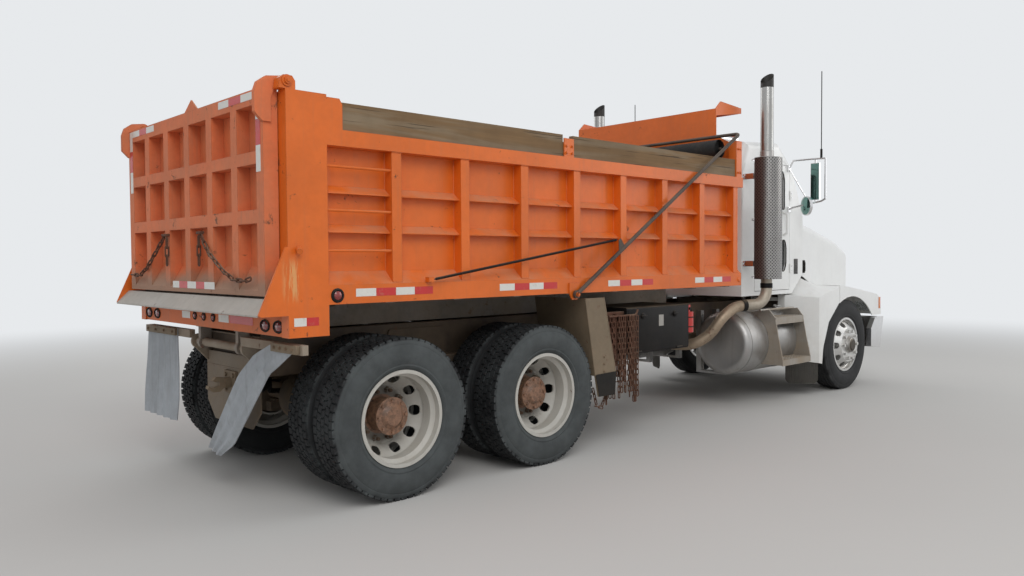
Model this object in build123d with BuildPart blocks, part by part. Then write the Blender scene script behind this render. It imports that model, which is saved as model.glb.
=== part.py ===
from build123d import *
import os
from math import atan2, cos, hypot, pi, radians, sin

# Three-axle dump truck, millimetres. +X is forward, +Y the driver's left, +Z up.
# The origin lies on the ground under the middle of the truck.

os.makedirs("parts", exist_ok=True)

# Driving dimensions
REAR_AXLE_X = -3240
TANDEM_SPACING = 1340
WHEELBASE = 6560
HUB_Z = 540
TYRE_RADIUS = 540
RIM_RADIUS = 311
RIM_LIP_RADIUS = 324
RIM_WELL_RADIUS = 287
RIM_WALL = 11
HAND_HOLE_RING = 247
TYRE_HALF_WIDTH = 137
RIM_HALF_WIDTH = 105
OUTER_TWIN_Y = 1079
INNER_TWIN_Y = 749
DUAL_FACE_Y = 914
FRONT_TYRE_Y = 1030
FRONT_FACE_Y = 1185
KINGPIN_Y = 930
KINGPIN_RADIUS = 18
RAIL_OUTER_Y = 430
RAIL_TOP_Z = 1100
RAIL_BOTTOM_Z = 800
BED_HALF_WIDTH = 1220
SHEET_Y = 1130
SHEET = 8
GATE_FACE_X = -930
BED_REAR_X = -830
BED_FRONT_X = 4080
RAIL_Z = (1318, 1438)
FLAP_X = -762
FLAP_TOP_Z = 1085
HOIST_BASE = (2400, 880)
HOIST_EYE = (300, 1150)
TOP_RAIL_Z = (2287, 2387)
POST_TOP_Z = 2590
HINGE = (-700, 1000)
HOOD_PIN = (7420, 880)
GATE_PIN = (-820, 2636)
TARP_PIVOT = (1630, 1310)
CAB_HALF_WIDTH = 920
SHELL = 12


def at(station):
    """Row X of a station measured forward from the rearmost axle."""
    return REAR_AXLE_X + station


def block(x, y, z, mode=Mode.ADD):
    """Box between (low, high) pairs; x is in stations."""
    middle = (at((x[0] + x[1]) / 2), (y[0] + y[1]) / 2, (z[0] + z[1]) / 2)
    with Locations(middle):
        Box(x[1] - x[0], y[1] - y[0], z[1] - z[0], mode=mode)


def side_plate(outline, y, mode=Mode.ADD):
    """Plate seen from the side: outline of (station, z), between two y values."""
    with BuildSketch(Plane.XZ.offset(-y[1])) as face:
        with BuildLine():
            Polyline(*[(at(station), z) for station, z in outline], close=True)
        make_face()
    extrude(face.sketch, amount=y[1] - y[0], mode=mode)


def cross_plate(outline, x, mode=Mode.ADD):
    """Plate seen from the front: outline of (y, z), between two stations."""
    with BuildSketch(Plane.YZ.offset(at(x[0]))) as face:
        with BuildLine():
            Polyline(*outline, close=True)
        make_face()
    extrude(face.sketch, amount=x[1] - x[0], mode=mode)


def floor_plate(outline, z, mode=Mode.ADD):
    """Plate seen from above: outline of (station, y), between two heights."""
    with BuildSketch(Plane.XY.offset(z[0])) as face:
        with BuildLine():
            Polyline(*[(at(station), y) for station, y in outline], close=True)
        make_face()
    extrude(face.sketch, amount=z[1] - z[0], mode=mode)


def rod(start, end, radius, mode=Mode.ADD):
    """Round bar between two (station, y, z) points."""
    low = Vector(at(start[0]), start[1], start[2])
    high = Vector(at(end[0]), end[1], end[2])
    with BuildSketch(Plane(origin=low, z_dir=high - low)) as section:
        Circle(radius)
    extrude(section.sketch, amount=(high - low).length, mode=mode)


def turned(station, z, outline, mode=Mode.ADD):
    """Solid turned about a crosswise axis: outline of (y, radius)."""
    plane = Plane(origin=(at(station), 0, z), x_dir=(0, 1, 0), z_dir=(1, 0, 0))
    with BuildSketch(plane) as section:
        with BuildLine():
            Polyline(*outline, close=True)
        make_face()
    revolve(section.sketch, axis=Axis((at(station), 0, z), (0, 1, 0)), mode=mode)


def pin_eye(centre, radius, y, mode=Mode.ADD):
    """Crosswise disc or hole round a (station, z) centre between two y values."""
    rod((centre[0], y[0], centre[1]), (centre[0], y[1], centre[1]), radius, mode)


def tube(path, radius):
    """Bent round tube along (station, y, z) points, a ball at each bend."""
    for start, end in zip(path, path[1:]):
        rod(start, end, radius)
    for station, y, z in path[1:-1]:
        with Locations((at(station), y, z)):
            Sphere(radius)


def mirrored_pair():
    """Adds the left-hand twin of what has been built on the right."""
    mirror(about=Plane.XZ)


def keep(name, piece):
    """Labels a finished piece and writes its file."""
    piece.part.label = name
    export_step(piece.part, f"parts/{name}.step")


def keep_left(name, right_piece):
    """Writes the left-hand copy of a right-hand piece."""
    with BuildPart() as left_piece:
        mirror(right_piece.part, about=Plane.XZ)
    keep(name, left_piece)


# Wheels and tyres

def tyre_outline(centre_y):
    """Half-worn radial tyre section, (y, radius)."""
    half = [(RIM_HALF_WIDTH, 313), (RIM_HALF_WIDTH, 326), (TYRE_HALF_WIDTH, 410), (118, 520), (96, TYRE_RADIUS)]
    right = [(centre_y - y, radius) for y, radius in half]
    left = [(centre_y + y, radius) for y, radius in reversed(half)]
    return right + left


def rim_outline(centre_y):
    """Rim barrel with its drop centre and two flanges, (y, radius)."""
    inner, outer = centre_y - RIM_HALF_WIDTH, centre_y + RIM_HALF_WIDTH
    seat, well = RIM_RADIUS - RIM_WALL, RIM_WELL_RADIUS - RIM_WALL
    return [(inner - 8, seat), (inner - 8, RIM_LIP_RADIUS), (inner, RIM_LIP_RADIUS), (inner, RIM_RADIUS),
            (inner + 35, RIM_RADIUS), (inner + 60, RIM_WELL_RADIUS), (outer - 60, RIM_WELL_RADIUS),
            (outer - 35, RIM_RADIUS), (outer, RIM_RADIUS), (outer, RIM_LIP_RADIUS),
            (outer + 8, RIM_LIP_RADIUS), (outer + 8, seat), (outer - 38, seat), (outer - 63, well),
            (inner + 63, well), (inner + 38, seat)]


def disc_outline(rim_y, face_y, side):
    """Dished wheel disc from the rim to the bolting face, (y, radius)."""
    return [(rim_y, 290), (rim_y - 12 * side, 290), (face_y - 12 * side, 205), (face_y - 12 * side, 90),
            (face_y, 90), (face_y, 205)]


def hand_holes(station, count, y):
    """Ring of oval holes through a wheel disc, their long way round the ring."""
    with BuildSketch(Plane(origin=(at(station), y[0], HUB_Z), z_dir=(0, 1, 0))) as ring:
        with PolarLocations(HAND_HOLE_RING, count, start_angle=180 / count):
            SlotOverall(74, 54, rotation=90)
    extrude(ring.sketch, amount=y[1] - y[0], mode=Mode.SUBTRACT)


def bolt_ring(station, radius, count, bolt_radius, y):
    """Ring of crosswise studs with their nuts."""
    for turn in range(count):
        angle = 2 * pi * turn / count
        centre = (station + radius * cos(angle), HUB_Z + radius * sin(angle))
        with BuildSketch(Plane(origin=(at(centre[0]), y[0], centre[1]), z_dir=(0, 1, 0))) as nut:
            RegularPolygon(bolt_radius, 6)
        extrude(nut.sketch, amount=y[1] - y[0])


def dual_tyres(station):
    """Pair of tyres side by side on one hub."""
    with BuildPart() as tyres:
        turned(station, HUB_Z, tyre_outline(OUTER_TWIN_Y))
        turned(station, HUB_Z, tyre_outline(INNER_TWIN_Y))
    return tyres


def dual_wheel(station):
    """Two disc wheels bolted face to face on a hub with its brake drum."""
    with BuildPart() as wheel:
        turned(station, HUB_Z, rim_outline(OUTER_TWIN_Y))
        turned(station, HUB_Z, rim_outline(INNER_TWIN_Y))
        turned(station, HUB_Z, disc_outline(1030, DUAL_FACE_Y + 12, 1))
        turned(station, HUB_Z, disc_outline(798, DUAL_FACE_Y - 12, -1))
        hand_holes(station, 10, (780, 1050))
        turned(station, HUB_Z, [(640, 200), (640, 213), (890, 213), (902, 190), (902, 52), (880, 52), (880, 190)])
        turned(station, HUB_Z, [(890, 52), (890, 118), (1040, 105), (1046, 128), (1062, 128), (1066, 88),
                                (1088, 60), (1088, 0), (1030, 0), (1030, 52)])
        bolt_ring(station, 168, 10, 21, (DUAL_FACE_Y + 12, DUAL_FACE_Y + 44))
        bolt_ring(station, 108, 8, 12, (1062, 1076))
    return wheel


def front_tyre():
    """Single steering tyre."""
    with BuildPart() as tyre:
        turned(WHEELBASE, HUB_Z, tyre_outline(FRONT_TYRE_Y))
    return tyre


def front_wheel():
    """Disc wheel with its face outboard, hub and brake drum."""
    with BuildPart() as wheel:
        turned(WHEELBASE, HUB_Z, rim_outline(FRONT_TYRE_Y))
        turned(WHEELBASE, HUB_Z, disc_outline(1092, FRONT_FACE_Y, 1))
        hand_holes(WHEELBASE, 10, (1070, 1200))
        turned(WHEELBASE, HUB_Z, [(998, 192), (998, 204), (1160, 204), (1173, 170), (1173, 42), (1150, 42),
                                  (1150, 192)])
        turned(WHEELBASE, HUB_Z, [(1060, 42), (1060, 90), (1185, 98), (1222, 86), (1236, 60), (1236, 0),
                                  (1200, 0), (1200, 42)])
        bolt_ring(WHEELBASE, 168, 10, 21, (FRONT_FACE_Y, FRONT_FACE_Y + 30))
    return wheel


for row, axle_station in (("forward", TANDEM_SPACING), ("rearmost", 0)):
    left_tyres = dual_tyres(axle_station)
    left_wheel = dual_wheel(axle_station)
    keep(f"tyres_{row}_left", left_tyres)
    keep(f"wheels_{row}_left", left_wheel)
    keep_left(f"tyres_{row}_right", left_tyres)
    keep_left(f"wheels_{row}_right", left_wheel)

steer_tyre = front_tyre()
steer_wheel = front_wheel()
keep("tyre_front_left", steer_tyre)
keep("wheel_front_left", steer_wheel)
keep_left("tyre_front_right", steer_tyre)
keep_left("wheel_front_right", steer_wheel)

# Knuckles, tie rod and front axle

TIE_ROD_STATION = WHEELBASE - 180
TIE_ROD_HALF = 880

with BuildPart() as knuckle_left:
    block((WHEELBASE - 45, WHEELBASE + 45), (885, 975), (440, 484))
    block((WHEELBASE - 45, WHEELBASE + 45), (885, 975), (596, 640))
    block((WHEELBASE - 60, WHEELBASE + 60), (975, 992), (430, 650))
    rod((WHEELBASE, KINGPIN_Y, 440), (WHEELBASE, KINGPIN_Y, 640), KINGPIN_RADIUS)
    rod((WHEELBASE, 992, HUB_Z), (WHEELBASE, 1190, HUB_Z), 40)
    pin_eye((WHEELBASE, HUB_Z), 180, (978, 990))
    floor_plate([(WHEELBASE - 40, 900), (TIE_ROD_STATION - 15, 862), (TIE_ROD_STATION - 22, 900),
                 (WHEELBASE - 40, 970)], (452, 476))
keep("knuckle_left", knuckle_left)
keep_left("knuckle_right", knuckle_left)

with BuildPart() as tie_rod:
    rod((TIE_ROD_STATION, -TIE_ROD_HALF, 425), (TIE_ROD_STATION, TIE_ROD_HALF, 425), 18)
keep("tie_rod", tie_rod)

with BuildPart() as axles:
    cross_plate([(-925, 500), (-850, 500), (-640, 400), (640, 400), (850, 500), (925, 500),
                 (925, 585), (850, 585), (640, 500), (-640, 500), (-850, 585), (-925, 585)],
                (WHEELBASE - 45, WHEELBASE + 45))
    for side in (-1, 1):
        rod((WHEELBASE, side * KINGPIN_Y, 500), (WHEELBASE, side * KINGPIN_Y, 585), 38)
        rod((WHEELBASE, side * KINGPIN_Y, 490), (WHEELBASE, side * KINGPIN_Y, 595), KINGPIN_RADIUS + 1.5,
            Mode.SUBTRACT)
    for height in (432, 446):
        block((WHEELBASE - 46, WHEELBASE - 14), (-640, 640), (height, height + 24), Mode.SUBTRACT)
        block((WHEELBASE + 14, WHEELBASE + 46), (-640, 640), (height, height + 24), Mode.SUBTRACT)
    for axle_station in (0, TANDEM_SPACING):
        rod((axle_station, -860, HUB_Z), (axle_station, 860, HUB_Z), 66)
        rod((axle_station, -1025, HUB_Z), (axle_station, 1025, HUB_Z), 50)
        for side in (-1, 1):
            pin_eye((axle_station, HUB_Z), 185, sorted((side * 618, side * 632)))
        turned(axle_station, HUB_Z, [(-330, 66), (-170, 190), (170, 190), (330, 66), (330, 0), (-330, 0)])
        rod((axle_station, 0, 580), (axle_station + 330, 0, 600), 105)
keep("axles", axles)

# Leaf springs in front, walking beams behind

with BuildPart() as suspension:
    for leaf in range(5):
        reach = 680 - 110 * leaf
        lift = 576 - 14 * leaf
        side_plate([(WHEELBASE - reach, lift + reach * 0.14), (WHEELBASE, lift - 14),
                    (WHEELBASE + reach, lift + reach * 0.14), (WHEELBASE + reach, lift + 13 + reach * 0.14),
                    (WHEELBASE, lift - 1), (WHEELBASE - reach, lift + 13 + reach * 0.14)], (-540, -460))
    block((WHEELBASE - 60, WHEELBASE + 60), (-550, -450), (500, 590))
    for end in (-680, 680):
        side_plate([(WHEELBASE + end - 45, 700), (WHEELBASE + end - 70, 950), (WHEELBASE + end + 70, 950),
                    (WHEELBASE + end + 45, 640), (WHEELBASE + end - 45, 640)], (-458, -430))
        pin_eye((WHEELBASE + end, 660), 30, (-545, -430))
    pivot = TANDEM_SPACING / 2
    side_plate([(-90, 380), (-90, 455), (pivot - 140, 560), (pivot + 140, 560), (TANDEM_SPACING + 90, 455),
                (TANDEM_SPACING + 90, 380), (pivot + 160, 440), (pivot - 160, 440)], (-580, -500))
    for axle_station in (0, TANDEM_SPACING):
        block((axle_station - 60, axle_station + 60), (-580, -500), (440, 474))
    side_plate([(pivot - 330, 790), (pivot - 330, 730), (pivot - 110, 600), (pivot - 110, 520),
                (pivot + 110, 520), (pivot + 110, 600), (pivot + 330, 730), (pivot + 330, 790)], (-570, -510))
    block((pivot - 340, pivot + 340), (-585, -430), (790, 850))
    side_plate([(pivot - 340, 850), (pivot - 260, 1060), (pivot + 260, 1060), (pivot + 340, 850)], (-448, -430))
    mirrored_pair()
    rod((pivot, -590, 500), (pivot, 590, 500), 50)
keep("suspension", suspension)

# Chassis frame

def rail_outline(web_y, side):
    """Channel section with its flanges turned inwards, (y, z)."""
    flange = web_y - 80 * side
    wall = 9 * side
    return [(web_y, RAIL_BOTTOM_Z), (web_y, RAIL_TOP_Z), (flange, RAIL_TOP_Z), (flange, RAIL_TOP_Z - 9),
            (web_y - wall, RAIL_TOP_Z - 9), (web_y - wall, RAIL_BOTTOM_Z + 9), (flange, RAIL_BOTTOM_Z + 9),
            (flange, RAIL_BOTTOM_Z)]


FRAME_REAR = -620
FRAME_FRONT = 7340
# Each row: station, top of the crossmember
CROSSMEMBERS = ((-590, 1070), (670, 1000), (2560, 1070), (3500, 1070), (4700, 1070), (7270, 1070))

with BuildPart() as frame:
    for side in (-1, 1):
        cross_plate(rail_outline(side * RAIL_OUTER_Y, side), (FRAME_REAR, FRAME_FRONT))
    for station, top in CROSSMEMBERS:
        block((station - 8, station + 8), (-421, 421), (830, top))
        block((station - 45, station + 45), (-421, 421), (822, 832))
        block((station - 45, station + 45), (-421, 421), (top - 2, top + 8))
    cross_plate([(-430, 930), (-430, 560), (-300, 430), (300, 430), (430, 560), (430, 930)], (-632, FRAME_REAR))
    for y in (-60, 60):
        for z in (680, 780):
            rod((-640, y, z), (-610, y, z), 11, Mode.SUBTRACT)
    for side in (-1, 1):
        walls = sorted((side * 400, side * 424))
        side_plate([(HINGE[0] - 45, HINGE[1] - 25), (HINGE[0] - 25, HINGE[1] + 45), (-600, HINGE[1] + 60),
                    (-560, 850), (-630, 850)], walls)
        pin_eye(HINGE, 55, walls)
        block((FLAP_X, FLAP_X + 40), sorted((side * 424, side * 1250)), (FLAP_TOP_Z - 60, FLAP_TOP_Z))
        hoist_lug = sorted((side * 92, side * 110))
        side_plate([(HOIST_BASE[0] - 50, HOIST_BASE[1] - 40), (HOIST_BASE[0] - 50, HOIST_BASE[1] + 40), (2552, 960),
                    (2552, 835)], hoist_lug)
        side_plate([(7262, 840), (7420, 858), (7442, 880), (7420, 902), (7262, 920)], sorted((side * 340, side * 356)))
        pin_eye(HOOD_PIN, 12, sorted((side * 340, side * 384)))
    pin_eye(HINGE, 30, (-424, 424))
    pin_eye(HOIST_BASE, 25, (-110, 110))
keep("frame", frame)

with BuildPart() as pintle_hook:
    block((-652, -632), (-90, 90), (650, 810))
    rod((-652, 0, 730), (-700, 0, 730), 38)
    side_plate([(-700, 700), (-700, 768), (-760, 776), (-785, 752), (-765, 742), (-735, 742), (-735, 712),
                (-790, 700), (-812, 720), (-818, 700), (-780, 672), (-730, 672)], (-24, 24))
    for y in (-60, 60):
        for z in (680, 780):
            rod((-666, y, z), (-640, y, z), 16)
            rod((-640, y, z), (-618, y, z), 10.5)
keep("pintle_hook", pintle_hook)

# Engine, gearbox, radiator and driveline

with BuildPart() as engine:
    block((5990, 6960), (-330, 330), (760, 1560))
    block((5000, 5990), (-210, 210), (760, 1130))
    block((7110, 7190), (-400, 400), (1110, 1640))
    block((7090, 7210), (-420, 420), (1640, 1690))
    block((7090, 7210), (-330, 330), (860, 1110))
    for side in (-1, 1):
        block((7090, 7210), sorted((side * 380, side * 420)), (1104, 1660))
keep("engine", engine)

with BuildPart() as driveshafts:
    rod((TANDEM_SPACING + 340, 0, 600), (3440, 0, 712), 45)
    rod((3440, 0, 712), (3560, 0, 718), 78)
    rod((3560, 0, 718), (4990, 0, 782), 45)
    rod((340, 0, 600), (TANDEM_SPACING - 200, 0, 600), 45)
    block((3492, 3508), (-110, 110), (700, 822))
keep("driveshafts", driveshafts)

# Bumper

with BuildPart() as bumper:
    side_plate([(7250, 830), (7500, 835), (7400, 443), (7140, 477), (7140, 700)], (-1200, 1200))
    side_plate([(7000, 900), (7465, 900), (7372, 300), (7000, 300)], (-1140, 1140), Mode.SUBTRACT)
    for side in (-1, 1):
        block((FRAME_FRONT, 7440), sorted((side * 350, side * 430)), (700, 830))
keep("bumper", bumper)

# Fuel tanks, steps, boxes and hanging gear along the frame

TANK_Y = 785
TANK_Z = 685
TANK_RADIUS = 333
TANK_SPAN = (4406, 5530)
TANK_SHOULDER = 75
STEP_STATIONS = (4800, 5395)

with BuildPart() as fuel_tanks:
    rod((TANK_SPAN[0], -TANK_Y, TANK_Z), (TANK_SPAN[1], -TANK_Y, TANK_Z), TANK_RADIUS)
    fillet(fuel_tanks.edges().filter_by(GeomType.CIRCLE), TANK_SHOULDER)
    for station in (4500, *STEP_STATIONS):
        rod((station - 28, -TANK_Y, TANK_Z), (station + 28, -TANK_Y, TANK_Z), TANK_RADIUS + 4)
        block((station - 28, station + 28), (-490, -430), (350, 1020))
        block((station - 28, station + 28), (-TANK_Y, -430), (344, 368))
    rod((5310, -TANK_Y - 110, TANK_Z + 260), (5310, -TANK_Y - 150, TANK_Z + 345), 48)
    mirrored_pair()
keep("fuel_tanks", fuel_tanks)

# Side plate of the steps with its cut round the tank still to come, (y, z)
STEP_OUTLINE = [(-880, 1008), (-962, 1016), (-1128, 1034), (-1193, 955), (-1235, 734), (-1284, 510),
                (-1284, 452), (-1000, 452)]
# Each row: outer y, top z of a tread, bottom z of its lip
TREADS = ((-1200, 955, 882), (-1284, 510, 447))

with BuildPart() as cab_steps:
    for station in STEP_STATIONS:
        cross_plate(STEP_OUTLINE, (station - 7, station + 7))
    for outer_y, top, lip in TREADS:
        block(STEP_STATIONS, (outer_y, outer_y + 230), (top - 18, top))
        block(STEP_STATIONS, (outer_y, outer_y + 12), (lip, top))
    rod((STEP_STATIONS[0] - 60, -1045, 1030), (STEP_STATIONS[1] + 60, -1045, 1030), 12)
    rod((TANK_SPAN[0] - 50, -TANK_Y, TANK_Z), (TANK_SPAN[1] + 50, -TANK_Y, TANK_Z), TANK_RADIUS + 5, Mode.SUBTRACT)
    mirrored_pair()
keep("cab_steps", cab_steps)

with BuildPart() as tool_boxes:
    block((2377, 3287), (-1150, -600), (757, 1165))
    fillet(tool_boxes.edges().filter_by(Axis.X), 18)
    block((2440, 2500), (-600, -430), (980, 1090))
    block((3160, 3220), (-600, -430), (980, 1090))
    mirrored_pair()
keep("tool_boxes", tool_boxes)

with BuildPart() as extinguisher:
    rod((3362, -1085, 892), (3362, -1085, 1085), 56)
    rod((3362, -1085, 1085), (3362, -1085, 1125), 24)
    block((3335, 3389), (-1100, -1070), (1125, 1150))
    block((3287, 3306), (-1120, -1050), (900, 1090))
keep("extinguisher", extinguisher)

with BuildPart() as mud_flaps:
    floor_plate([(5577, -889), (5794, -1176), (5802, -1170), (5585, -883)], (150, 440))
    mirrored_pair()
    side_plate([(FLAP_X - 10, FLAP_TOP_Z), (FLAP_X, FLAP_TOP_Z), (FLAP_X - 2, 700), (FLAP_X - 30, 380),
                (FLAP_X - 40, 380), (FLAP_X - 14, 700)], (620, 1285))
    cross_plate([(-1235, FLAP_TOP_Z), (-900, FLAP_TOP_Z), (-640, 990), (-409, 836), (-241, 644), (78, 269),
                 (-84, 227), (-310, 348), (-570, 608), (-836, 878)], (FLAP_X - 10, FLAP_X))
keep("mud_flaps", mud_flaps)

with BuildPart() as tandem_guards:
    side_plate([(1790, 1270), (1800, 1270), (1918, 630), (1908, 630)], (-1200, -620))
    side_plate([(1790, 1270), (2020, 1270), (2167, 640), (1908, 630)], (-1200, -1190))
    side_plate([(1908, 630), (2167, 640), (2150, 450), (1950, 455)], (-1203, -1187))
    rod((1915, -1192, 960), (1915, -430, 960), 24)
    mirrored_pair()
keep("tandem_guards", tandem_guards)


def chain_link(centre, along, flat, length, width, wire):
    """Plain six-sided link: along is its long way, flat the normal of its ring."""
    plane = Plane(origin=(at(centre[0]), centre[1], centre[2]), x_dir=along, z_dir=flat)
    half, wide = length / 2, width / 2
    with BuildSketch(plane) as ring:
        with BuildLine():
            Polyline((half, 0), (half - wide, wide), (wide - half, wide), (-half, 0), (wide - half, -wide),
                     (half - wide, -wide), close=True)
        make_face()
        with BuildLine():
            Polyline((half - wire * 1.4, 0), (half - wide, wide - wire), (wide - half, wide - wire),
                     (wire * 1.4 - half, 0), (wide - half, wire - wide), (half - wide, wire - wide), close=True)
        make_face(mode=Mode.SUBTRACT)
    extrude(ring.sketch, amount=wire / 2, both=True)


def chain(route, pitch, normal, length, width, wire):
    """Links along a route of (station, y, z) points, each turned across the last."""
    spans = [Vector(*end) - Vector(*start) for start, end in zip(route, route[1:])]
    total = sum(span.length for span in spans)
    for number in range(int(total / pitch)):
        distance = (number + 0.5) * pitch
        for start, span in zip(route, spans):
            if distance <= span.length:
                break
            distance -= span.length
        along = span.normalized()
        centre = Vector(*start) + along * distance
        flat = Vector(*normal) if number % 2 == 0 else along.cross(Vector(*normal))
        chain_link((centre.X, centre.Y, centre.Z), along, flat, length, width, wire)


with BuildPart() as hanging_chains:
    block((2093, 2377), (-1120, -1060), (1105, 1135))
    for station, drop in ((2125, 620), (2165, 760), (2210, 690), (2255, 780), (2300, 560), (2345, 700)):
        chain([(station, -1090, 1088), (station + 12, -1095, 1088 - drop)], 80, (1, 0, 0), 104, 40, 13)
keep("hanging_chains", hanging_chains)

# Exhaust stacks

STACK = (4690, -1150)
SHIELD_RADIUS = 155

with BuildPart() as exhausts:
    rod((STACK[0], STACK[1], 1395), (STACK[0], STACK[1], 2605), 128)
    rod((STACK[0], STACK[1], 2605), (STACK[0], STACK[1], 3530), 67)
    side_plate([(STACK[0] - 80, 3394), (STACK[0] - 80, 3700), (STACK[0] + 80, 3700), (STACK[0] + 80, 3530),
                (STACK[0] + 10, 3480)], (STACK[1] - 80, STACK[1] + 80), Mode.SUBTRACT)
    rod((STACK[0], STACK[1], 3330), (STACK[0], STACK[1], 3600), 60, Mode.SUBTRACT)
    rod((STACK[0], STACK[1], 2755), (STACK[0], STACK[1], 2780), 80)
    tube([(STACK[0], STACK[1], 1395), (STACK[0], STACK[1], 1230), (4620, -1130, 1110), (4350, -1030, 1095),
          (4140, -985, 1000), (4050, -900, 835), (3950, -830, 730), (3900, -500, 700), (3900, -285, 690),
          (5925, -285, 690), (5925, -285, 900)], 58)
    for height in (1470, 2000, 2530):
        rod((STACK[0], STACK[1], height), (STACK[0], STACK[1], height + 16), SHIELD_RADIUS - 5)
    block((4610, 4650), (-1060, -920), (1500, 1560))
    block((4610, 4650), (-1060, -920), (2420, 2480))
    mirrored_pair()
keep("exhausts", exhausts)

with BuildPart() as stack_shields:
    rod((STACK[0], STACK[1], 1369), (STACK[0], STACK[1], 2631), SHIELD_RADIUS)
    rod((STACK[0], STACK[1], 1369), (STACK[0], STACK[1], 2631), SHIELD_RADIUS - 4, Mode.SUBTRACT)
    block((STACK[0] - 170, STACK[0] + 40), (STACK[1] + 60, STACK[1] + 170), (1369, 2631), Mode.SUBTRACT)
    mirrored_pair()
keep("stack_shields", stack_shields)

# Cab

CAB_OUTLINE = [(4580, 1180), (4580, 2630), (4690, 2840), (5380, 2885), (5580, 2730), (5905, 2070),
               (5905, 1395), (5660, 1180)]
CAB_INNER = [(4612, 1212), (4612, 2615), (4715, 2806), (5368, 2850), (5546, 2712), (5870, 2056),
             (5870, 1412), (5640, 1212)]
DOOR_SPAN = (4842, 5600)
DOOR_Z = (1225, 2640)
DOOR_PIN = (5602, 925)
DOOR_KNUCKLES = ((1420, 1520), (2250, 2350))


def door_outline(gap):
    """Door edge with its front top corner cut to the screen pillar, inset by a gap."""
    rear, front = DOOR_SPAN[0] + gap, DOOR_SPAN[1] - gap
    low, high = DOOR_Z[0] + gap, DOOR_Z[1] - gap
    return [(rear, low), (rear, high), (front - 30, high), (front, high - 60), (front, low)]


def window_outline(inset):
    """Door window opening."""
    return [(4930 + inset, 2140 + inset), (4930 + inset, 2565 - inset), (5440 - inset, 2565 - inset),
            (5480 - inset, 2480), (5480 - inset, 2140 + inset)]


with BuildPart() as cab_shell:
    side_plate(CAB_OUTLINE, (-CAB_HALF_WIDTH, CAB_HALF_WIDTH))
    roof_edges = cab_shell.faces().filter_by(Axis.Y).edges().filter_by(lambda edge: edge.center().Z > 2700)
    roof_edges = roof_edges.filter_by(lambda edge: edge.center().X < at(5500))
    fillet(roof_edges, 90)
    side_plate(CAB_INNER, (-CAB_HALF_WIDTH + 32, CAB_HALF_WIDTH - 32), Mode.SUBTRACT)
    side_plate(door_outline(0), (-1000, 1000), Mode.SUBTRACT)
    cross_plate([(-560, 1980), (560, 1980), (560, 2460), (-560, 2460)], (4500, 4700), Mode.SUBTRACT)
    screen = Plane(origin=(at(5742), 0, 2400), x_dir=(0, 1, 0), z_dir=(730, 0, 359))
    with BuildSketch(screen) as panes:
        with Locations((-430, 0), (430, 0)):
            RectangleRounded(780, 560, 50)
    extrude(panes.sketch, amount=120, both=True, mode=Mode.SUBTRACT)
    for side in (-1, 1):
        for low, high in DOOR_KNUCKLES:
            rod((DOOR_PIN[0], side * DOOR_PIN[1], low), (DOOR_PIN[0], side * DOOR_PIN[1], high), 8)
            block((DOOR_PIN[0] + 2, DOOR_PIN[0] + 45), sorted((side * 918, side * 930)), (low, high))
keep("cab_shell", cab_shell)

with BuildPart() as cab_glass:
    with BuildSketch(screen) as panes:
        with Locations((-430, 0), (430, 0)):
            RectangleRounded(779, 559, 50)
    extrude(panes.sketch, amount=-6)
    cross_plate([(-559, 1981), (559, 1981), (559, 2459), (-559, 2459)], (4592, 4598))
keep("cab_glass", cab_glass)

with BuildPart() as door_right:
    side_plate(door_outline(6), (-CAB_HALF_WIDTH, -CAB_HALF_WIDTH + 38))
    side_plate(window_outline(0), (-1000, -800), Mode.SUBTRACT)
    side_plate([(5400, 1500), (5430, 1440), (5480, 1440), (5520, 1520), (5520, 1720), (5490, 1790),
                (5440, 1790), (5400, 1720)], (-1000, -800), Mode.SUBTRACT)
    tube([(5462, -CAB_HALF_WIDTH, 1850), (5462, -965, 1870), (5462, -965, 2080), (5462, -CAB_HALF_WIDTH, 2100)], 12)
    block((5300, 5385), (-932, -CAB_HALF_WIDTH), (1815, 1900))
keep("door_right", door_right)
keep_left("door_left", door_right)

with BuildPart() as door_glass_right:
    side_plate(window_outline(0.5), (-905, -899))
    side_plate([(5400.5, 1500), (5430, 1440.5), (5480, 1440.5), (5519.5, 1520), (5519.5, 1720), (5490, 1789.5),
                (5440, 1789.5), (5400.5, 1720)], (-905, -899))
keep("door_glass_right", door_glass_right)
keep_left("door_glass_left", door_glass_right)

with BuildPart() as mirror_right:
    for pad_z in (2110, 2570):
        block((5535, 5585), (-942, -CAB_HALF_WIDTH), (pad_z, pad_z + 60))
    tube([(5560, -936, 2605), (5575, -975, 2690), (5590, -1200, 2690), (5590, -1348, 2685),
          (5590, -1348, 2240), (5590, -1300, 2215), (5575, -975, 2160), (5560, -936, 2140)], 11)
    tube([(5560, -936, 2600), (5585, -1160, 2205)], 8)
    block((5572, 5602), (-1285, -1185), (2232, 2640))
    block((5585, 5595), (-1240, -1225), (2200, 2690))
    disc = Plane(origin=(at(5574), -1138, 2170), z_dir=(-cos(radians(33)), sin(radians(33)), 0))
    with BuildSketch(disc) as convex:
        Circle(108)
    extrude(convex.sketch, amount=14, both=True)
    rod((5590, -1300, 2690), (5590, -1300, 3644), 4)
    rod((5590, -1300, 2680), (5590, -1300, 2790), 9)
keep("mirror_right", mirror_right)
keep_left("mirror_left", mirror_right)

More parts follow.
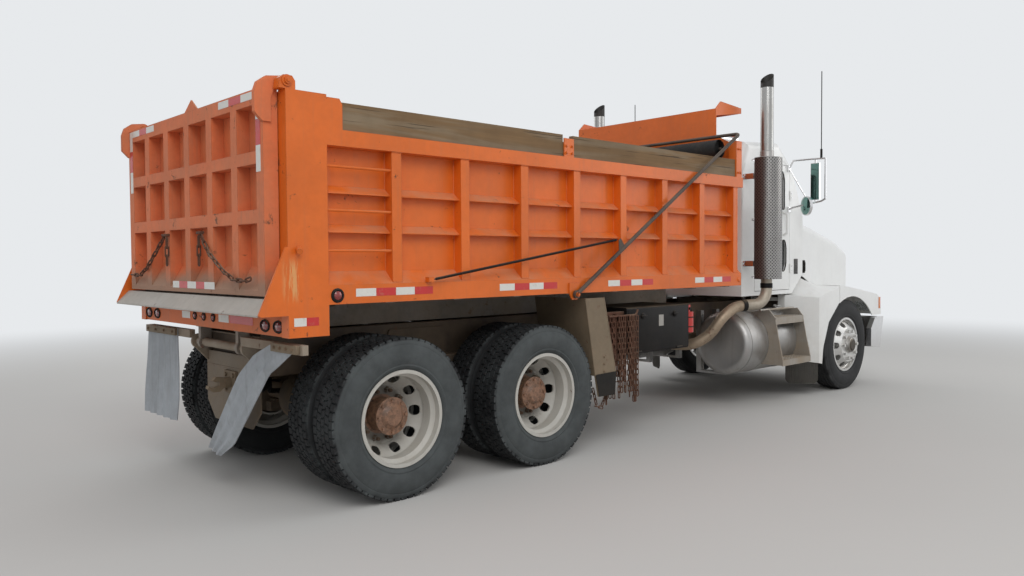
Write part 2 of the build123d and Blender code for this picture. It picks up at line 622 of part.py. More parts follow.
with BuildPart() as cab_interior:
    side_plate([(5500, 1560), (5520, 1900), (5640, 1960), (5860, 1960), (5860, 1560)], (-870, 870))
    side_plate([(5860, 1430), (5870, 1430), (5870, 1560), (5860, 1560)], (-880, 880))
    rod((5560, 420, 1800), (5340, 420, 1990), 24)
    with BuildSketch(Plane(origin=(at(5340), 420, 1990), z_dir=(-220, 0, 190))) as wheel_rim:
        Circle(235)
        Circle(212, mode=Mode.SUBTRACT)
        Rectangle(430, 26)
        Rectangle(26, 430)
    extrude(wheel_rim.sketch, amount=12, both=True)
keep("cab_interior", cab_interior)

with BuildPart() as seats:
    for y in (-430, 430):
        block((4760, 5230), (y - 240, y + 240), (1560, 1680))
        side_plate([(4760, 1680), (4880, 1680), (4790, 2330), (4670, 2330)], (y - 230, y + 230))
        block((4820, 5170), (y - 180, y + 180), (1212, 1560))
keep("seats", seats)

with BuildPart() as roof_horn:
    rod((4800, -420, 2948), (5180, -420, 2948), 34)
    rod((5180, -420, 2948), (5230, -420, 2948), 62)
    block((4840, 4870), (-440, -400), (2864, 2948))
    block((5090, 5120), (-440, -400), (2880, 2948))
    mirrored_pair()
keep("roof_horn", roof_horn)

# Hood with its fenders, grille and lamps

LAMPS_Y = ((870, 1060), (1075, 1150))
LAMP_Z = (900, 1020)
# Each row: station, half width at the shoulder, shoulder z, crown z
HOOD_SECTIONS = ((5915, 885, 2010, 2110), (6360, 835, 1950, 2050), (7060, 785, 1800, 1900),
                 (7390, 752, 1690, 1740))


def hood_section(row, wall):
    """One crosswise hood section, pulled in by the wall thickness."""
    station, half, shoulder, crown = row
    half, shoulder, crown = half - wall, shoulder - wall, crown - wall
    with BuildSketch(Plane.YZ.offset(at(station))) as section:
        with BuildLine():
            Line((-half, 860), (-half, shoulder - 90))
            ThreePointArc((-half, shoulder - 90), (-half + 30, shoulder - 22), (-half + 95, shoulder + 12))
            ThreePointArc((-half + 95, shoulder + 12), (0, crown), (half - 95, shoulder + 12))
            ThreePointArc((half - 95, shoulder + 12), (half - 30, shoulder - 22), (half, shoulder - 90))
            Line((half, shoulder - 90), (half, 860))
            Line((half, 860), (-half, 860))
        make_face()
    return section.sketch


FENDER_OUTLINE = [(6300, 1262), (6640, 1222), (7330, 1125), (7425, 1060), (7445, 865), (6300, 865)]
FENDER_CAVITY = [(6290, 1251), (6640, 1210), (7324, 1113), (7413, 1052), (7431, 800), (6290, 800)]
ARCH_CENTRE = (6620, 360)
ARCH_RADIUS = 760

with BuildPart() as hood:
    for front_row, rear_row in zip(HOOD_SECTIONS, HOOD_SECTIONS[1:]):
        loft([hood_section(front_row, 0), hood_section(rear_row, 0)], ruled=True)
    side_plate(FENDER_OUTLINE, (-1190, 1190))
    for front_row, rear_row in zip(HOOD_SECTIONS, HOOD_SECTIONS[1:]):
        inner_rows = [tuple(front_row), tuple(rear_row)]
        if front_row is HOOD_SECTIONS[0]:
            inner_rows[0] = (front_row[0] - 0.5, *front_row[1:])
        if rear_row is HOOD_SECTIONS[-1]:
            inner_rows[1] = (rear_row[0] - SHELL, *rear_row[1:])
        loft([hood_section(inner_rows[0], SHELL), hood_section(inner_rows[1], SHELL)], ruled=True,
             mode=Mode.SUBTRACT)
    for side in (-1, 1):
        side_plate(FENDER_CAVITY, sorted((side * 860, side * (1190 - SHELL))), Mode.SUBTRACT)
    block((6200, 7390 - SHELL), (-740, 740), (800, 1300), Mode.SUBTRACT)
    pin_eye(ARCH_CENTRE, ARCH_RADIUS, (-1300, 1300), Mode.SUBTRACT)
    side_plate([(5800, 700), (5800, 1420), (5915, 1400), (6300, 1262), (6300, 700)], (-1300, 1300), Mode.SUBTRACT)
    block((7300, 7500), (-430, 430), (940, 1640), Mode.SUBTRACT)
    for side in (-1, 1):
        pin_eye(HOOD_PIN, 26, sorted((side * 362, side * 388)))
        block((7300, 7500), sorted((side * 332, side * 362)), (840, 927), Mode.SUBTRACT)
        pin_eye(HOOD_PIN, 13.5, sorted((side * 330, side * 390)), Mode.SUBTRACT)
        for lamp_y in LAMPS_Y:
            block((7380, 7500), sorted((side * lamp_y[0], side * lamp_y[1])), LAMP_Z, Mode.SUBTRACT)
keep("hood", hood)

with BuildPart() as grille:
    cross_plate([(-430, 940), (430, 940), (430, 1640), (-430, 1640)], (7380, 7402))
    cross_plate([(-405, 965), (405, 965), (405, 1615), (-405, 1615)], (7300, 7500), Mode.SUBTRACT)
    for y in range(-390, 391, 60):
        block((7384, 7398), (y - 7, y + 7), (960, 1620))
keep("grille", grille)

with BuildPart() as headlamps:
    for side in (-1, 1):
        for lamp_y in LAMPS_Y:
            block((7405, 7462), sorted((side * (lamp_y[0] + 1), side * (lamp_y[1] - 1))),
                  (LAMP_Z[0] + 1, LAMP_Z[1] - 1))
keep("headlamps", headlamps)

# Quarter fenders behind the front wheels

FENDER_PLAN = [(5560, -885), (5785, -1190), (6290, -1190), (6290, -800), (5560, -800)]
FENDER_PLAN_INNER = [(5574, -889), (5792, -1178), (6400, -1178), (6400, -790), (5574, -790)]

with BuildPart() as fender_cavity:
    side_plate([(5500, 300), (5500, 1150), (5785, 1117), (6276, 1238), (6400, 1060), (6400, 300)], (-1300, -700))
    floor_plate(FENDER_PLAN_INNER, (200, 1400), Mode.INTERSECT)

with BuildPart() as quarter_fenders:
    side_plate([(5550, 430), (5550, 1165), (5785, 1130), (6285, 1252), (6290, 1062), (6020, 840), (5890, 560),
                (5860, 370)], (-1190, -800))
    floor_plate(FENDER_PLAN, (300, 1400), Mode.INTERSECT)
    add(fender_cavity.part, mode=Mode.SUBTRACT)
    block((5600, 5640), (-800, -430), (1090, 1130))
    mirrored_pair()
keep("quarter_fenders", quarter_fenders)

# Tipping body

RIBS = (-48, 530, 1107, 1684, 2261, 2838, 3415, 3990)

with BuildPart() as bed_side_right:
    block((BED_REAR_X, BED_FRONT_X), (-SHEET_Y, -SHEET_Y + SHEET), (RAIL_Z[0], 2300))
    cross_plate([(-BED_HALF_WIDTH, RAIL_Z[0]), (-BED_HALF_WIDTH, RAIL_Z[1]), (-SHEET_Y, 1520),
                 (-SHEET_Y, RAIL_Z[0])], (-560, BED_FRONT_X))
    cross_plate([(-BED_HALF_WIDTH, TOP_RAIL_Z[0]), (-BED_HALF_WIDTH, TOP_RAIL_Z[1]), (-1105, TOP_RAIL_Z[1]),
                 (-1105, 2300), (-SHEET_Y, TOP_RAIL_Z[0])], (-560, BED_FRONT_X + 30))
    for shelf_z in (2052, 1812):
        cross_plate([(-SHEET_Y, shelf_z), (-1192, shelf_z - 48), (-1192, shelf_z - 54), (-SHEET_Y, shelf_z - 40)],
                    (-10, 3990))
    for station in RIBS:
        block((station - 38, station + 38), (-1212, -SHEET_Y), (1430, TOP_RAIL_Z[0]))
    block((BED_REAR_X, -560), (-BED_HALF_WIDTH, -SHEET_Y), (1130, POST_TOP_Z))
    side_plate([(-845, 1668), (BED_REAR_X, 1668), (BED_REAR_X, 1262), (-1000, 1262), (-1020, 1273)],
               (-BED_HALF_WIDTH, -BED_HALF_WIDTH + 12))
    side_plate([(-870, 2600), (-862, 2650), (-840, 2668), (-785, 2668), (-765, 2640), (-765, 2590),
                (-870, 2590)], (-BED_HALF_WIDTH, -1150))
    pin_eye(GATE_PIN, 20, (-1150, -1104))
    pin_eye(GATE_PIN, 34, (-1228, -BED_HALF_WIDTH))
    for rung_z in (2165, 1896, 1648):
        rod((-560, -1195, rung_z), (-80, -1195, rung_z), 9)
    side_plate([(-560, TOP_RAIL_Z[1]), (-560, 2575), (-470, 2575), (-450, 2540), (-450, TOP_RAIL_Z[1])],
               (-BED_HALF_WIDTH, -1130))
    block((1530, 1640), (-BED_HALF_WIDTH, -BED_HALF_WIDTH + 10), (TOP_RAIL_Z[1], 2530))
    block((3992, 4088), (-BED_HALF_WIDTH, -1130), (TOP_RAIL_Z[1], 2740))
    rod((-760, -BED_HALF_WIDTH, 1656), (-775, -1262, 1640), 18)
    side_plate([(1570, 1318), (1570, 1400), (1690, 1400), (1690, 1318), (1660, 1268), (1600, 1268)],
               (-1232, -BED_HALF_WIDTH))
    pin_eye(TARP_PIVOT, 17, (-1275, -1232))
    block((170, 212), (-1262, -BED_HALF_WIDTH), (1440, 1472))
keep("bed_side_right", bed_side_right)
keep_left("bed_side_left", bed_side_right)

INNER_Y = SHEET_Y - SHEET

with BuildPart() as bed_floor:
    block((BED_REAR_X, BED_FRONT_X - 10), (-INNER_Y, INNER_Y), (1395, 1405))
    for station in RIBS:
        block((station - 35, station + 35), (-INNER_Y, INNER_Y), (1305, 1395))
    block((-800, -700), (-INNER_Y, INNER_Y), (1305, 1395))
    for side in (-1, 1):
        block((-735, 4000), sorted((side * 270, side * 370)), (1112, 1305))
        ears = sorted((side * 290, side * 330))
        side_plate([(-735, HINGE[1]), (-735, 1120), (-655, 1120), (-655, HINGE[1])], ears)
        pin_eye(HINGE, 48, ears)
        pin_eye(HINGE, 31, sorted((side * 280, side * 340)), Mode.SUBTRACT)
        eye_lug = sorted((side * 74, side * 94))
        side_plate([(HOIST_EYE[0] - 110, 1400), (HOIST_EYE[0] + 110, 1400), (HOIST_EYE[0] + 45, 1110),
                    (HOIST_EYE[0] - 45, 1110)], eye_lug)
keep("bed_floor", bed_floor)

with BuildPart() as headboard:
    cross_plate([(-INNER_Y, 1320), (-INNER_Y, 2286), (-1104, 2286), (-1104, 2740), (-935, 2830), (-935, 3105),
                 (935, 3105), (935, 2830), (1104, 2740), (1104, 2286), (INNER_Y, 2286), (INNER_Y, 1320)],
                (BED_FRONT_X - 10, BED_FRONT_X))
    for y in (-600, 0, 600):
        block((BED_FRONT_X, BED_FRONT_X + 60), (y - 40, y + 40), (1400, 2990))
    side_plate([(BED_FRONT_X - 10, 3105), (BED_FRONT_X + 60, 3120), (4535, 3140), (4535, 3130),
                (BED_FRONT_X + 60, 3108), (BED_FRONT_X - 10, 3095)], (-935, 935))
    for side in (-1, 1):
        side_plate([(BED_FRONT_X, 3035), (BED_FRONT_X - 10, 3105), (4160, 3186), (4545, 3160), (4545, 3105)],
                   sorted((side * 923, side * 935)))
    side_plate([(4535, 3160), (4545, 3160), (4545, 3105), (4535, 3105)], (-935, 935))
    side_plate([(3800, 2560), (3800, 2572), (BED_FRONT_X - 10, 2572), (BED_FRONT_X - 10, 2560)], (-1100, 1100))
keep("headboard", headboard)

with BuildPart() as rear_sill:
    block((-820, -735), (-SHEET_Y, SHEET_Y), (1132, 1245))
    block((-800, -735), (-1100, 1100), (1245, 1305))
    for side in (-1, 1):
        for y in (900, 1070):
            rod((-826, side * y, 1190), (-806, side * y, 1190), 42, Mode.SUBTRACT)
    side_plate([(BED_REAR_X, 1366), (-930, 1362), (-1020, 1272), (-1020, 1262), (-926, 1352), (BED_REAR_X, 1356)],
               (-BED_HALF_WIDTH + 12, BED_HALF_WIDTH - 12))
    block((BED_REAR_X, -800), (-INNER_Y, INNER_Y), (1245, 1395))
keep("rear_sill", rear_sill)

BOARDS = ((-448, 1528), (1642, 3990))

with BuildPart() as sideboards:
    for low, high in BOARDS:
        block((low, high), (-1205, -1165), (TOP_RAIL_Z[1], 2557))
    block((1528, 1642), (-1205, -1165), (TOP_RAIL_Z[1], 2500))
    mirrored_pair()
keep("sideboards", sideboards)

with BuildPart() as tarp_roll:
    rod((3905, -1090, 2668), (3905, 1090, 2668), 95)
keep("tarp_roll", tarp_roll)

# Tailgate

GATE_HALF = 1130
GATE_RIBS = (-740, -370, 0, 370, 740)
GATE_ROWS = ((2237, 2510), (1892, 2162))
edges_y = [-1040] + [y + shift for y in GATE_RIBS for shift in (-43, 43)] + [1040]
POCKETS = list(zip(edges_y[0::2], edges_y[1::2]))

with BuildPart() as tailgate:
    block((GATE_FACE_X, BED_REAR_X - 6), (-GATE_HALF, GATE_HALF), (1378, 2600))
    for low_y, high_y in POCKETS:
        for low_z, high_z in GATE_ROWS:
            block((GATE_FACE_X, -846), (low_y, high_y), (low_z, high_z), Mode.SUBTRACT)
        side_plate([(GATE_FACE_X, 1811), (-846, 1811), (-846, 1555), (GATE_FACE_X, 1410)], (low_y, high_y),
                   Mode.SUBTRACT)
    for side in (-1, 1):
        arm = sorted((side * 1112, side * 1142))
        side_plate([(-935, 2400), (-985, 2450), (-985, 2570), (-965, 2625), (-910, 2664), (-820, 2676),
                    (-820, 2598), (-862, 2588), (-880, 2540), (-880, 2400)], arm)
        pin_eye(GATE_PIN, 40, arm)
        pin_eye(GATE_PIN, 21.5, sorted((side * 1100, side * 1160)), Mode.SUBTRACT)
    cross_plate([(68, 2598), (-60, 2679), (-169, 2598)], (-915, -905))
keep("tailgate", tailgate)

CHAIN_X = -948
# Each row: the (y, z) points of a chain from the lug it hangs on
GATE_CHAINS = (((387, 1762), (574, 1644), (731, 1549), (891, 1485), (1074, 1491)),
               ((-263, 1762), (-375, 1647), (-595, 1527), (-753, 1471), (-906, 1467), (-1029, 1491)),
               ((335, 1752), (338, 1553)), ((-228, 1752), (-225, 1548)))

with BuildPart() as tailgate_chains:
    for low_y, high_y in ((326, 396), (-272, -219)):
        block((GATE_FACE_X - 30, GATE_FACE_X), (low_y, high_y), (1770, 1786))
    for route in GATE_CHAINS:
        chain([(CHAIN_X, y, z) for y, z in route], 66, (1, 0, 0), 86, 34, 10)
keep("tailgate_chains", tailgate_chains)

# Tarp arms with their springs

ARM_Y = (-1262, -1240)
ARM_END = (4000, 2805)
SPRING_REAR = (215, -1251, 1457)
SPRING_FRONT = (2135, -1251, 1747)

with BuildPart() as tarp_arms:
    arm_length = hypot(ARM_END[0] - TARP_PIVOT[0], ARM_END[1] - TARP_PIVOT[1])
    arm_slope = atan2(ARM_END[1] - TARP_PIVOT[1], ARM_END[0] - TARP_PIVOT[0])
    normal = (-sin(arm_slope) * 24, cos(arm_slope) * 24)
    side_plate([(TARP_PIVOT[0] - normal[0], TARP_PIVOT[1] - normal[1]), (ARM_END[0] - normal[0], ARM_END[1] - normal[1]),
                (ARM_END[0] + normal[0], ARM_END[1] + normal[1]), (TARP_PIVOT[0] + normal[0], TARP_PIVOT[1] + normal[1])],
               ARM_Y)
    pin_eye(TARP_PIVOT, 34, ARM_Y)
    pin_eye(TARP_PIVOT, 18, (-1300, -1236), Mode.SUBTRACT)
    side_plate([(2150, 1640), (2172, 1770), (2210, 1770), (2240, 1690)], ARM_Y)
    mirrored_pair()
    rod((ARM_END[0], -1250, ARM_END[1]), (ARM_END[0], 1250, ARM_END[1]), 22)
keep("tarp_arms", tarp_arms)

with BuildPart() as tarp_springs:
    rod(SPRING_REAR, SPRING_FRONT, 11)
    mirrored_pair()
keep("tarp_springs", tarp_springs)

# Hoist under the body

with BuildPart() as hoist_barrel:
    run = Vector(HOIST_EYE[0] - HOIST_BASE[0], 0, HOIST_EYE[1] - HOIST_BASE[1]).normalized()
    mouth = (HOIST_BASE[0] + run.X * 1500, 0, HOIST_BASE[1] + run.Z * 1500)
    pin_eye(HOIST_BASE, 60, (-85, 85))
    rod((HOIST_BASE[0], 0, HOIST_BASE[1]), mouth, 85)
    rod((HOIST_BASE[0] + run.X * 200, 0, HOIST_BASE[1] + run.Z * 200),
        (HOIST_BASE[0] + run.X * 1501, 0, HOIST_BASE[1] + run.Z * 1501), 70, Mode.SUBTRACT)
    pin_eye(HOIST_BASE, 26, (-90, 90), Mode.SUBTRACT)
keep("hoist_barrel", hoist_barrel)

with BuildPart() as hoist_rod:
    rod((HOIST_BASE[0] + run.X * 260, 0, HOIST_BASE[1] + run.Z * 260), (HOIST_EYE[0], 0, HOIST_EYE[1]), 60)
    pin_eye(HOIST_EYE, 62, (-62, 62))
keep("hoist_rod", hoist_rod)
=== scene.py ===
"""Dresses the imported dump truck: finishes, small fittings, soft goods, lights and camera."""

from __future__ import annotations

import logging
import math
import random
from dataclasses import dataclass, replace
from enum import Enum
from functools import cache
from typing import Iterable, Sequence

import bmesh
import bpy
from mathutils import Matrix, Vector

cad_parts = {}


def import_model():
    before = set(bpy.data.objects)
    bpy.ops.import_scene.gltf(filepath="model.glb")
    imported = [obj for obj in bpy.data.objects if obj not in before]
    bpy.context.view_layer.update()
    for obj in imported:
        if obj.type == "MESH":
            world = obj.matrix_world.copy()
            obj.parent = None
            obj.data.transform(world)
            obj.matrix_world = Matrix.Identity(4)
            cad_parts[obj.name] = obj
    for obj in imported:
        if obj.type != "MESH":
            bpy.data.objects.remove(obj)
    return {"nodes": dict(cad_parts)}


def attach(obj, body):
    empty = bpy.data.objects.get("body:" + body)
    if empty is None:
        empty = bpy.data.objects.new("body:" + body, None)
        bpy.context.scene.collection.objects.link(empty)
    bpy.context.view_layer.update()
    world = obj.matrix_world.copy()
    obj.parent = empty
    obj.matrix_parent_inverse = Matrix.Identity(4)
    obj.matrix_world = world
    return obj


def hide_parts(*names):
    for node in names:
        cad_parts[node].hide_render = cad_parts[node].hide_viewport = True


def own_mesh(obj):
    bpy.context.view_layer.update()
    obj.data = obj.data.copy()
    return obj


log = logging.getLogger("dump_truck")

Colour = tuple[float, float, float]
Point = tuple[float, float, float]

REAR_AXLE_X = -3.24
TANDEM_SPACING = 1.34
WHEELBASE = 6.56
HUB_Z = 0.54
SIDES = ((-1, "right"), (1, "left"))
DRIVEN_AXLES = (("forward", TANDEM_SPACING), ("rearmost", 0.0))
SHARP_ANGLE = 0.5
MERGE_DISTANCE = 1e-6


def spot(station: float, y: float, z: float) -> Vector:
    """Place of a point whose station is measured forward from the rearmost axle."""
    return Vector((REAR_AXLE_X + station, y, z))


def tint(red: float, green: float, blue: float) -> Colour:
    """Linear colour from the values that a screen shows."""

    def channel(value: float) -> float:
        """Linear value of one channel."""
        return value / 12.92 if value <= 0.04045 else ((value + 0.055) / 1.055) ** 2.4

    return (channel(red), channel(green), channel(blue))


def toned(colour: Colour, factor: float) -> Colour:
    """Colour made darker or brighter by a factor."""
    return tuple(channel * factor for channel in colour)


class Field:
    """A shader socket that takes part in arithmetic."""

    def __init__(self, kit: "Kit", socket: bpy.types.NodeSocket) -> None:
        """Wraps one output socket of a node."""
        self.kit = kit
        self.socket = socket

    def __add__(self, other: "Field | float") -> "Field":
        """Sum."""
        return self.kit.math("ADD", self, other)

    def __radd__(self, other: float) -> "Field":
        """Sum with the number first."""
        return self.kit.math("ADD", other, self)

    def __sub__(self, other: "Field | float") -> "Field":
        """Difference."""
        return self.kit.math("SUBTRACT", self, other)

    def __rsub__(self, other: float) -> "Field":
        """Difference with the number first."""
        return self.kit.math("SUBTRACT", other, self)

    def __mul__(self, other: "Field | float") -> "Field":
        """Product."""
        return self.kit.math("MULTIPLY", self, other)

    def __rmul__(self, other: float) -> "Field":
        """Product with the number first."""
        return self.kit.math("MULTIPLY", other, self)

    def __pow__(self, other: float) -> "Field":
        """Power."""
        return self.kit.math("POWER", self, other)

    def __abs__(self) -> "Field":
        """Size without its sign."""
        return self.kit.math("ABSOLUTE", self)


class Kit:
    """Makes and joins the nodes of one material."""

    def __init__(self, owner: str | bpy.types.World) -> None:
        """Starts an empty node tree.

        Args:
            owner: Name of a new material, or the world that takes the nodes.
        """
        self.material = bpy.data.materials.new(owner) if isinstance(owner, str) else None
        home = self.material or owner
        home.use_nodes = True
        self.tree = home.node_tree
        self.tree.nodes.clear()
        self._places: bpy.types.Node | None = None

    def add(self, kind: str, settings: dict | None = None, sockets: dict | None = None) -> bpy.types.Node:
        """Makes one node.

        Args:
            kind: Blender's node type.
            settings: Properties that are set first.
            sockets: Values or fields for the inputs, by name or number.

        Returns:
            The new node.
        """
        node = self.tree.nodes.new(kind)
        for name, value in (settings or {}).items():
            setattr(node, name, value)
        for key, value in (sockets or {}).items():
            if isinstance(value, Field):
                self.tree.links.new(value.socket, node.inputs[key])
            else:
                node.inputs[key].default_value = value
        return node

    def math(self, operation: str, first: Field | float, second: Field | float = 0.0) -> Field:
        """One Math node on fields or numbers."""
        node = self.add("ShaderNodeMath", {"operation": operation}, {0: first, 1: second})
        return Field(self, node.outputs[0])

    def least(self, first: Field | float, second: Field | float) -> Field:
        """Smaller of two."""
        return self.math("MINIMUM", first, second)

    def most(self, first: Field | float, second: Field | float) -> Field:
        """Larger of two."""
        return self.math("MAXIMUM", first, second)

    def places(self, output: str = "Object") -> Field:
        """Texture coordinates of the piece."""
        if self._places is None:
            self._places = self.add("ShaderNodeTexCoord")
        return Field(self, self._places.outputs[output])

    def axes(self, output: str = "Object") -> tuple[Field, Field, Field]:
        """Texture coordinates split into X, Y and Z."""
        node = self.add("ShaderNodeSeparateXYZ", sockets={0: self.places(output)})
        return tuple(Field(self, socket) for socket in node.outputs)

    def stretched(self, scale: Point) -> Field:
        """Object coordinates multiplied axis by axis."""
        node = self.add("ShaderNodeVectorMath", {"operation": "MULTIPLY"}, {0: self.places(), 1: scale})
        return Field(self, node.outputs[0])

    def noise(self, scale: float, detail: float = 3.0, rough: float = 0.55, stretch: Point = (1, 1, 1),
            bend: float = 0.0) -> Field:
        """Cloudy pattern between about 0.2 and 0.8.

        Args:
            scale: Clouds per metre.
            detail: Octaves.
            rough: Strength of the finer octaves.
            stretch: Factors on the coordinates, so that a pattern can run along an axis.
            bend: Distortion.

        Returns:
            The pattern.
        """
        node = self.add("ShaderNodeTexNoise", {"noise_dimensions": "3D"},
            {"Vector": self.stretched(stretch), "Scale": scale, "Detail": detail, "Roughness": rough,
            "Distortion": bend})
        return Field(self, node.outputs[0])

    def cells(self, scale: float, feature: str = "F1") -> Field:
        """Distances in a pattern of cells."""
        node = self.add("ShaderNodeTexVoronoi", {"feature": feature},
            {"Vector": self.places(), "Scale": scale})
        return Field(self, node.outputs["Distance"])

    def from_axle(self, station: float) -> Field:
        """Distance from the line of an axle.

        Args:
            station: Station of the axle.

        Returns:
            The distance in metres.
        """
        x, _, z = self.axes()
        away_x, away_z = x - (REAR_AXLE_X + station), z - HUB_Z
        return (away_x * away_x + away_z * away_z) ** 0.5

    def step(self, value: Field, low: float, high: float) -> Field:
        """Smooth step from 0 at low to 1 at high."""
        node = self.add("ShaderNodeMapRange", {"interpolation_type": "SMOOTHSTEP"},
            {"Value": value, "From Min": low, "From Max": high})
        return Field(self, node.outputs[0])

    def blend(self, share: Field | float, first: "Field | Colour", second: "Field | Colour") -> Field:
        """Mix of two colours.

        Args:
            share: Share of the second colour.
            first: Colour where the share is 0.
            second: Colour where the share is 1.

        Returns:
            The mixed colour.
        """
        node = self.add("ShaderNodeMix", {"data_type": "RGBA"})
        for number, value in ((0, share), (6, first), (7, second)):
            if isinstance(value, Field):
                self.tree.links.new(value.socket, node.inputs[number])
            else:
                node.inputs[number].default_value = value if number == 0 else (*value, 1.0)
        return Field(self, node.outputs[2])

    def between(self, base: Field | float, share: Field | float, other: Field | float) -> Field:
        """Number that goes from base to other as share goes from 0 to 1."""
        node = self.add("ShaderNodeMix", {"data_type": "FLOAT"}, {0: share, 2: base, 3: other})
        return Field(self, node.outputs[0])

    def edges(self, radius: float) -> Field:
        """1 near the edges of the piece, 0 on its flats.

        Args:
            radius: Reach of the edges in metres.

        Returns:
            The pattern.
        """
        rounded = self.add("ShaderNodeBevel", {"samples": 4}, {"Radius": radius})
        flat = self.add("ShaderNodeNewGeometry")
        dot = self.add("ShaderNodeVectorMath", {"operation": "DOT_PRODUCT"},
            {0: Field(self, rounded.outputs[0]), 1: Field(self, flat.outputs["Normal"])})
        return 1.0 - Field(self, dot.outputs["Value"])

    def close(self, colour: Field | Colour, roughness: Field | float, metallic: Field | float = 0.0,
            height: Field | None = None, relief: float = 0.002,
            extra: dict | None = None) -> bpy.types.Material:
        """Joins everything to the surface shader.

        Args:
            colour: Base colour.
            roughness: Roughness.
            metallic: Metallic share.
            height: Height pattern for the bump, if any.
            relief: Height of the bump in metres.
            extra: More inputs of the shader by name.

        Returns:
            The finished material.
        """
        sockets = {"Base Color": colour if isinstance(colour, Field) else (*colour, 1.0),
            "Roughness": roughness, "Metallic": metallic, **(extra or {})}
        if height is not None:
            bump = self.add("ShaderNodeBump",
                sockets={"Distance": relief, "Strength": 1.0, "Height": height})
            sockets["Normal"] = Field(self, bump.outputs[0])
        shader = self.add("ShaderNodeBsdfPrincipled", sockets=sockets)
        out = self.add("ShaderNodeOutputMaterial")
        self.tree.links.new(shader.outputs[0], out.inputs[0])
        self.material.diffuse_color = (*colour, 1.0) if isinstance(colour, tuple) else (0.5, 0.5, 0.5, 1.0)
        return self.material


DUST = tint(0.64, 0.57, 0.48)
RUST = tint(0.42, 0.24, 0.15)
ORANGE = tint(0.85, 0.395, 0.04)
DRY_DUST = tint(0.5, 0.45, 0.4)


@dataclass(frozen=True)
class Finish:
    """A surface with its unevenness, dust, rust and wear; material() builds it and returns it."""

    name: str
    colour: Colour
    roughness: float = 0.5
    metallic: float = 0.0
    mottle: float = 0.12
    mottle_scale: float = 2.5
    dust: float = 0.2
    dust_low: float = 0.0
    dust_top: float = 0.5
    dust_colour: Colour = DUST
    rust: float = 0.0
    rust_scale: float = 9.0
    wear: float = 0.0
    wear_colour: Colour = RUST
    streaks: float = 0.0
    grain: float = 0.0
    grain_scale: float = 220.0
    dents: float = 0.0
    coat: float = 0.0
    gloss: float = 0.5

    def colour_field(self, kit: Kit) -> Field | Colour:
        """Colour before the dirt, uneven as old paint is.

        Args:
            kit: Maker of the material's nodes.

        Returns:
            The colour.
        """
        clouds = kit.noise(self.mottle_scale, 4.0, 0.6)
        fine = kit.noise(self.mottle_scale * 9.0, 3.0, 0.6)
        dark = toned(self.colour, 1.0 - self.mottle)
        pale = tuple(min(1.0, channel * (1.0 + self.mottle) + self.mottle * 0.02) for channel in self.colour)
        return kit.blend(kit.step(clouds * 0.7 + fine * 0.3, 0.3, 0.7), dark, pale)

    def dust_field(self, kit: Kit) -> Field:
        """Share of dust: more on ledges and near the ground, in clouds.

        Args:
            kit: Maker of the material's nodes.

        Returns:
            The share, from 0 to 0.95.
        """
        _, _, height = kit.axes()
        _, _, facing = kit.axes("Normal")
        low = 1.0 - kit.step(height, 0.15, 1.5)
        ledge = kit.step(facing, 0.35, 0.9)
        clouds = kit.step(kit.noise(3.0, 5.0, 0.65), 0.3, 0.7)
        amount = (self.dust + low * self.dust_low) * (clouds * 0.9 + 0.35) + ledge * self.dust_top * clouds
        return kit.least(amount, 0.95)

    def material(self) -> bpy.types.Material:
        """Builds the node tree.

        Returns:
            The material.
        """
        kit = Kit(self.name)
        colour = self.colour_field(kit)
        roughness: Field | float = self.roughness
        metallic: Field | float = self.metallic
        height = kit.noise(self.grain_scale, 2.0, 0.5) * self.grain
        if self.dents:
            height = height + kit.noise(5.0, 2.0, 0.4) * (self.dents * 8.0)
        if self.streaks:
            runs = kit.step(kit.noise(26.0, 3.0, 0.6, stretch=(1, 1, 0.04)), 0.52, 0.72)
            colour = kit.blend(runs * self.streaks, colour, toned(self.dust_colour, 0.45))
        if self.wear:
            worn = kit.step(kit.edges(0.006) + kit.noise(30.0, 3.0) * 0.12, 0.1, 0.22) * self.wear
            colour = kit.blend(worn, colour, self.wear_colour)
            roughness = kit.between(roughness, worn, 0.75)
        if self.rust:
            patches = kit.step(kit.noise(self.rust_scale, 6.0, 0.75, bend=0.4), 0.66 - self.rust * 0.25,
                0.74 - self.rust * 0.2)
            tones = kit.blend(kit.noise(60.0, 3.0), toned(RUST, 0.5), RUST)
            colour = kit.blend(patches, colour, tones)
            roughness = kit.between(roughness, patches, 0.9)
            metallic = kit.between(metallic, patches, 0.0)
            height = height + patches * kit.noise(140.0, 3.0) * 0.4
        powder = self.dust_field(kit)
        colour = kit.blend(powder, colour, self.dust_colour)
        roughness = kit.between(roughness, powder, 0.92)
        metallic = kit.between(metallic, powder, 0.0)
        extra: dict = {"Specular IOR Level": self.gloss}
        if self.coat:
            extra |= {"Coat Weight": (1.0 - powder) * self.coat, "Coat Roughness": 0.08}
        return kit.close(colour, roughness, metallic, height, 0.001, extra)


